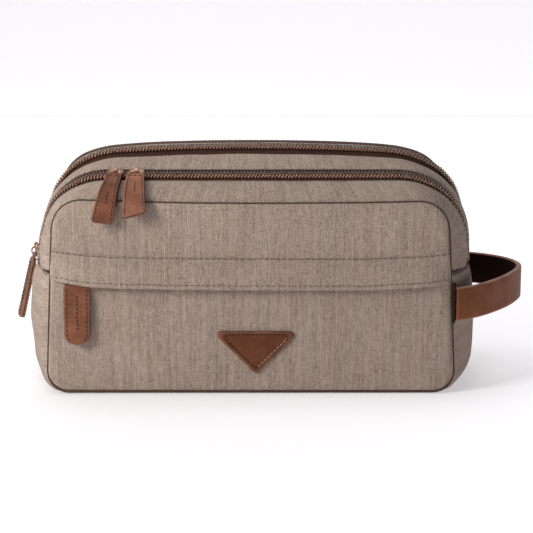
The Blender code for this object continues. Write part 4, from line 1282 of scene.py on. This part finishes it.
# ---------------------------------------------------------------- leather patch
corners = [(-23.4, 38.5), (2.4, 12.4), (28.2, 38.5)]
radii = [3.4, 2.8, 3.4]


def rounded(points, radii, steps=8):
    made = []
    n = len(points)
    for i in range(n):
        p, a, b = (np.array(points[k % n], float) for k in (i, i - 1, i + 1))
        da, db = unit(a - p), unit(b - p)
        half = math.acos(float(np.clip((da * db).sum(), -1, 1))) / 2
        away = radii[i] / math.tan(half)
        s, e = p + da * away, p + db * away
        for k in range(steps + 1):
            t = k / steps
            made.append(s * (1 - t) ** 2 + p * 2 * t * (1 - t) + e * t**2)
    return np.array(made)


outline = resample(np.concatenate([rounded(corners, radii), rounded(corners, radii)[:1]]), step=0.8)[:-1]
middle = outline.mean(0)
rings = []
for inset, out in ((0.0, -0.2), (0.0, 0.9), (0.12, 1.45), (0.5, 1.85), (1.0, 1.95), (1.5, 1.9), (1.9, 1.72), (2.4, 1.85), (4.0, 1.95), (7.0, 1.95)):
    scale = 1 - inset / 9.2
    ring = middle + (outline - middle) * scale
    base = YF - face_depth(ring[:, 0], ring[:, 1], FRONT_LOOP, 0.9, 36, 44)
    rings.append(np.stack([ring[:, 0], base - out, ring[:, 1]], 1))
rings = np.array(rings)
n, m = rings.shape[:2]
faces = grid_faces(n, m, False, True)
index = [1 if i < 4 else 0 for i in range(n - 1) for j in range(m)]
faces.append(tuple((n - 1) * m + k for k in range(m)))
index.append(0)
faces.append(tuple(range(m))[::-1])
index.append(1)
piece = mesh_object("leather_triangle", rings.reshape(-1, 3), faces, None, (PATCH, PATCH_EDGE), index)
bm = bmesh.new()
bm.from_mesh(piece.data)
bmesh.ops.recalc_face_normals(bm, faces=bm.faces)
bm.to_mesh(piece.data)
bm.free()
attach(piece, "bag_body")
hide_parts("triangle_patch")
seam = rings[6] + (0, -0.2, 0)
seam = np.concatenate([seam, seam[:1]])
v, f = stitches(seam, 2.6, 1.7, 0.33, (0, -1, 0))
piece = mesh_object("leather_triangle_stitches", v, f, None, (THREAD_LEATHER, THREAD_TAN))
zc = np.empty(len(piece.data.polygons) * 3)
piece.data.polygons.foreach_get("center", zc)
zc = zc.reshape(-1, 3)
tan_side = (zc[:, 0] > 0.004) & (zc[:, 2] < 0.0352)
piece.data.polygons.foreach_set("material_index", tan_side.astype(np.int32))
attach(piece, "bag_body")

# ---------------------------------------------------------------- side loop
LOOP = ((118.6, -54.6), (121.8, -53.2), (130.5, -47.6), (141.5, -35.5), (152.5, -19.5), (161.0, -2.0), (164.8, 13.0), (161.5, 28.0), (151.0, 41.5),
        (136.5, 49.8), (121.8, 53.4), (118.6, 54.4))
line = resample(catmull(LOOP, 10), step=1.6)
tan = unit(np.gradient(line, axis=0))
nrm = np.stack([tan[:, 1], -tan[:, 0]], 1)
half_t, half_w, zc0 = 1.5, 9.85, 54.5
prof = []
for k in range(9):                    # outer face, from the low edge up
    prof.append((half_t, -half_w + 0.7 + (2 * half_w - 1.4) * k / 8, 0))
prof += [(half_t - 0.25, half_w - 0.2, 1), (half_t - 0.8, half_w, 1), (-half_t + 0.8, half_w, 1), (-half_t + 0.25, half_w - 0.2, 1)]
for k in range(9):
    prof.append((-half_t, half_w - 0.7 - (2 * half_w - 1.4) * k / 8, 2))
prof += [(-half_t + 0.25, -half_w + 0.2, 1), (-half_t + 0.8, -half_w, 1), (half_t - 0.8, -half_w, 1), (half_t - 0.25, -half_w + 0.2, 1)]
rows = []
for i, (p, q) in enumerate(zip(line, nrm)):
    rows.append([(p[0] + q[0] * t, p[1] + q[1] * t, zc0 + w) for t, w, _ in prof])
rows = np.array(rows)
n, m = rows.shape[:2]
faces = grid_faces(n, m, False, True)
kinds = []
for i in range(n - 1):
    for j in range(m):
        a, b = prof[j][2], prof[(j + 1) % m][2]
        kinds.append(1 if 1 in (a, b) else a)
# the two cut ends take the near-black inside leather: painted shade where the strap goes into the seam
faces += [tuple(range(m))[::-1], tuple((n - 1) * m + k for k in range(m))]
kinds += [2, 2]
piece = mesh_object("carry_strap", rows.reshape(-1, 3), faces, None, (STRAP, STRAP_EDGE, STRAP_IN_SHADE), kinds)
bm = bmesh.new()
bm.from_mesh(piece.data)
bmesh.ops.recalc_face_normals(bm, faces=bm.faces)
bm.to_mesh(piece.data)
bm.free()
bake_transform(piece)
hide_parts("strap")

# canvas binding tabs that hold the strap's ends in the seams, coloured near-black as painted shadow in the slot beside
# each end
for name, side, node in (("strap_tab_canvas_front", 1, "strap_tab_front"), ("strap_tab_canvas_rear", -1, "strap_tab_rear")):
    zz = np.linspace(42.5, 66.5, 22)
    sec = [(117.0, 0.9), (117.1, -0.5), (117.35, -1.4), (117.8, -1.75), (118.3, -1.7), (118.65, -1.2), (118.8, -0.4), (118.8, 0.9)]
    grid = np.array([[(x, side * (YF + dy), z) for z in zz] for x, dy in sec])
    squeeze = 1 - 0.75 * (1 - smooth(np.minimum(zz - 42.5, 66.5 - zz), 0, 2.2))
    grid[..., 1] = side * (YF + (grid[..., 1] * side - YF) * squeeze[None] + 0.4 * (1 - squeeze[None]))
    piece = cloth(name, grid, (BINDING_SHADOW, BINDING_SHADOW), inside=(118.8, side * (YF + 0.6), 54.5), uv=np.stack([grid[..., 2] * 0 + np.array([s[0] + s[1] for s in sec])[:, None], grid[..., 2]], -1), thick=0.5)
    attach(piece, "bag_body")
    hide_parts(node)

# ---------------------------------------------------------------- inside
def pouch(name, first, last, node, seed):
    depths = np.concatenate([[first, first + 0.6, first + 1.6], np.linspace(first + 4, last - 4, 8), [last - 1.6, last - 0.6, last]])
    rows = []
    for i, d in enumerate(depths):
        pts = []
        b = float(bulge(d))
        rx, rz = 12 + 14 * b, 12 + 9 * b
        z0 = 4.3
        zc = z0 + rz
        squeeze = 0.9 if i in (0, len(depths) - 1) else (0.25 if i in (1, len(depths) - 2) else 0.0)
        for z in np.linspace(71.4, zc, 16)[:-1]:
            pts.append((float(side_x(d, z)) - 3.0 - squeeze, z))
        xc = float(side_x(d, zc)) - 3.0 - squeeze
        for k in range(12):
            a = math.pi / 2 * k / 11
            pts.append((xc - rx * (1 - math.cos(a)), zc - rz * math.sin(a)))
        xe = pts[-1][0]
        for k in range(1, 16):
            pts.append((xe * (1 - k / 15), z0))
        half = np.array(pts)
        line = np.concatenate([half * (-1, 1), half[-2::-1]])
        rows.append(np.stack([line[:, 0], np.full(len(line), YF + d), line[:, 1]], 1))
    grid = np.array(rows)
    n = ripple(grid, 22.0, seed) * 0.5
    keep = smooth(grid[..., 2], 6, 14)
    tan = unit(np.gradient(grid[..., [0, 2]], axis=1))
    grid[..., 0] -= tan[..., 1] * (np.abs(n) * keep) * -1 * -1
    walls = []
    for end, dy in ((0, 1), (-1, -1)):
        line = grid[end]
        mid = line.mean(0)
        levels = [line * (1 - k) + np.array([line[:, 0] * 0.0, line[:, 1], np.minimum(line[:, 2], 71.4)]).T * k for k in (0,)]
    piece = sheet(name, grid, length_uv(grid), (LINING,), (0, YF + (first + last) / 2, 40), 0.5)
    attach(piece, "bag_body")
    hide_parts(node)
    # the pouch's two flat walls, slightly slack
    for k, (d, sign) in enumerate(((first + 0.2, 1), (last - 0.2, -1))):
        half = grid[0 if k == 0 else -1][:, [0, 2]]
        count = len(half)
        left = half[: count // 2 + 1]
        left = resample(left[left[:, 0] < -1], 30)
        right = left * (-1, 1)
        u = np.linspace(0, 1, 50)[None, :, None]
        g = left[:, None] * (1 - u) + right[:, None] * u
        w = np.stack([g[..., 0], np.full(g.shape[:2], YF + d), g[..., 1]], -1)
        w[..., 1] += sign * (0.25 + ripple(w, 26.0, seed + k) * 0.7) * smooth(np.abs(w[..., 0]), 110, 70) * smooth(w[..., 2], 5, 15)
        p2 = sheet(f"{name}_wall_{k}", w, np.stack([w[..., 0], w[..., 2]], -1), (LINING,), (0, YF + d + sign * 50, 40), 0.5)
        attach(p2, "bag_body")


pouch("pouch_front", 4.4, 42.8, "front_lining", 51.0)
pouch("pouch_rear", 45.2, 104.4, "rear_lining", 61.0)

lo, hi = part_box("compartment_divider")
lo, hi = np.array(lo) * 1000, np.array(hi) * 1000
# divider: stitched cloth wall with a bound top edge
xs = np.linspace(-1, 1, 90)
zs = np.linspace(0, 1, 46)


def divider_top(x):
    ax = np.abs(x)
    return np.where(ax < 76, 123.5, 80.0 + 43.5 * np.sqrt(np.clip(1 - ((ax - 76) / 49.0) ** 2, 0, 1)))


def divider_half(z):
    b = float(bulge(44.0))
    side = side_x(44.0, np.minimum(z, Z_END)) - 3.6
    rx, rz = 12 + 14 * b, 12 + 9 * b
    zc = 4.3 + rz
    xc = float(side_x(44.0, zc)) - 3.6
    corner = xc - rx * (1 - np.sqrt(np.clip(1 - ((zc - z) / rz) ** 2, 0, 1)))
    return np.where(z < zc, corner, side)


g = np.empty((len(zs), len(xs), 2))
for i, t in enumerate(zs):
    z = 4.3 + (123.5 - 4.3) * t
    if z <= 80:
        half = float(divider_half(z))
    else:
        half = 76 + 49.0 * math.sqrt(max(1 - ((z - 80.0) / 43.5) ** 2, 0.0))
        half = min(half, float(divider_half(73.0)))
    g[i, :, 0] = xs * half
    g[i, :, 1] = z
w = np.stack([g[..., 0], np.full(g.shape[:2], YF + 44.0), g[..., 1]], -1)
w[..., 1] += ripple(w, 38.0, 71.0) * 0.35
piece = sheet("divider_cloth", w, np.stack([w[..., 0], w[..., 2]], -1), (LINING,), (0, -200, 60), 0.9)
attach(piece, "bag_body")
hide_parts("compartment_divider")
edge_line = np.concatenate([w[18:, 0], w[-1, 1:-1], w[18:, -1][::-1]])
v, f = tube_data(resample(edge_line, step=1.6), 0.95, 8, False, (0, 1, 0))
piece = mesh_object("divider_binding", v, f, v[:, [0, 2]], (PIPING_AND_SEAM_SHADE,))
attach(piece, "bag_body")

# the wall between the pocket and the front compartment
low = low_outline(3.1)
left_line = low[::-1] * (-1, 1)
left_line = left_line[(left_line[:, 0] < -100)]
left_line = np.concatenate([left_line, [(-113.0, 81.6)]])
left = resample(left_line, 40)
right = left * (-1, 1)
u = np.linspace(0, 1, 90)[None, :, None]
g = left[:, None] * (1 - u) + right[:, None] * u
w = np.stack([g[..., 0], np.full(g.shape[:2], YF + 2.3), g[..., 1]], -1)
w[..., 1] += ripple(w, 30.0, 81.0) * 0.3
piece = sheet("pocket_lining", w, np.stack([w[..., 0], w[..., 2]], -1), (LINING,), (0, 200, 60), 0.8)
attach(piece, "bag_body")
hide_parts("front_wall")

# the stiff board keeps its CAD shape
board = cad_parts["base_board"]
board.data.materials.clear()
board.data.materials.append(BOARD)

# ---------------------------------------------------------------- floor, light and camera
KEY, AIM, KEY_POWER = (-0.48, -0.40, 0.36), (0.0, 0.0, 0.06), 3.25
FLOOR_ALBEDO, FLOOR_LEVEL = 0.82, 0.61


def floor_material():
    m, t, b = principled("studio_floor")
    obj = add(t, "ShaderNodeTexCoord").outputs["Object"]
    cloud = stretched(t, obj, (1.2, 1.2, 1.2), 2.0, 0.5, 1.0)
    t.links.new(ramp(t, cloud, [(0.2, (FLOOR_ALBEDO - 0.005, FLOOR_ALBEDO - 0.012, FLOOR_ALBEDO + 0.004)), (0.8, (FLOOR_ALBEDO + 0.005, FLOOR_ALBEDO - 0.002, FLOOR_ALBEDO + 0.014))]), b.inputs["Base Color"])
    b.inputs["Roughness"].default_value = 0.9
    b.inputs["Specular IOR Level"].default_value = 0.0
    # the paper glows where the lamps fall short, as an evenly lit sweep does
    geo = add(t, "ShaderNodeVectorMath", operation="SUBTRACT")
    t.links.new(obj, geo.inputs[0])
    geo.inputs[1].default_value = KEY
    toward = unit(np.array(AIM) - np.array(KEY))
    dots = []
    for other in (None, (0.0, 0.0, -1.0), tuple(float(q) for q in toward)):
        dot = add(t, "ShaderNodeVectorMath", operation="DOT_PRODUCT")
        t.links.new(geo.outputs[0], dot.inputs[0])
        if other is None:
            t.links.new(geo.outputs[0], dot.inputs[1])
        else:
            dot.inputs[1].default_value = other
        dots.append(dot.outputs["Value"])
    fall = maths(t, "DIVIDE", maths(t, "MULTIPLY", dots[1], dots[2]), maths(t, "MULTIPLY", dots[0], dots[0]))
    lit = maths(t, "MULTIPLY", fall, FLOOR_ALBEDO * KEY_POWER / math.pi**2)
    sep = add(t, "ShaderNodeSeparateXYZ")
    t.links.new(obj, sep.inputs[0])
    far = maths(t, "MULTIPLY", maths(t, "SUBTRACT", sep.outputs[1], 0.5, True), 0.045)
    glow = maths(t, "SUBTRACT", maths(t, "SUBTRACT", FLOOR_LEVEL, lit), far)
    glow = maths(t, "MAXIMUM", glow, 0.0)
    b.inputs["Emission Color"].default_value = (0.985, 0.97, 1.0, 1.0)
    t.links.new(glow, b.inputs["Emission Strength"])
    return m


profile = [(-3000, 0), (900, 0), (1300, 0), (1600, 35), (1850, 140), (2050, 330), (2150, 600), (2200, 1000), (2200, 3000)]
profile = catmull(profile, 6)
xx = np.array([-4000.0, -1500, -500, 0, 500, 1500, 4000])
grid = np.array([[(x, y, z) for x in xx] for y, z in profile])
faces = [t[::-1] for t in grid_faces(len(profile), len(xx))]
floor = mesh_object("studio_floor", grid.reshape(-1, 3), faces, None, (floor_material(),))
up = np.array([p.normal for p in floor.data.polygons])
if up[:, 2].sum() < 0:
    floor.data.flip_normals()

world = bpy.data.worlds.new("studio")
scene.world = world
world.use_nodes = True
bg = world.node_tree.nodes["Background"]
bg.inputs[0].default_value = (1.0, 0.99, 1.0, 1.0)
# the room is darker to the right
way = world.node_tree.nodes.new("ShaderNodeTexCoord")
part = world.node_tree.nodes.new("ShaderNodeSeparateXYZ")
dim = world.node_tree.nodes.new("ShaderNodeMapRange")
world.node_tree.links.new(way.outputs["Generated"], part.inputs[0])
world.node_tree.links.new(part.outputs[0], dim.inputs["Value"])
dim.inputs["From Min"].default_value = -0.9
dim.inputs["From Max"].default_value = 0.9
dim.inputs["To Min"].default_value = 0.30
dim.inputs["To Max"].default_value = 0.05
world.node_tree.links.new(dim.outputs[0], bg.inputs[1])


def area(name, place, target, size, power, colour=(1, 1, 1)):
    data = bpy.data.lights.new(name, "AREA")
    data.shape = "RECTANGLE"
    data.size, data.size_y = size
    data.energy = power
    data.color = colour
    o = bpy.data.objects.new(name, data)
    scene.collection.objects.link(o)
    o.location = place
    o.rotation_euler = (Vector(target) - Vector(place)).to_track_quat("-Z", "Y").to_euler()
    return o


area("key", KEY, AIM, (0.24, 0.24), KEY_POWER, (1.0, 0.985, 0.97))
area("top", (-0.25, 0.2, 1.5), (0, 0, 0.05), (1.2, 1.0), 8.6)

cam = bpy.data.cameras.new("camera")
cam.lens = 115.9
cam.sensor_width = 36.0
cam.clip_end = 50.0
camera = bpy.data.objects.new("camera", cam)
scene.collection.objects.link(camera)
target = Vector((0.0086, 0.0, 0.0652))
e = math.radians(12.0)
camera.location = target + Vector((0, -math.cos(e), math.sin(e))) * 1.05
camera.rotation_euler = (target - camera.location).to_track_quat("-Z", "Y").to_euler()
scene.camera = camera
scene.view_settings.view_transform = "Standard"
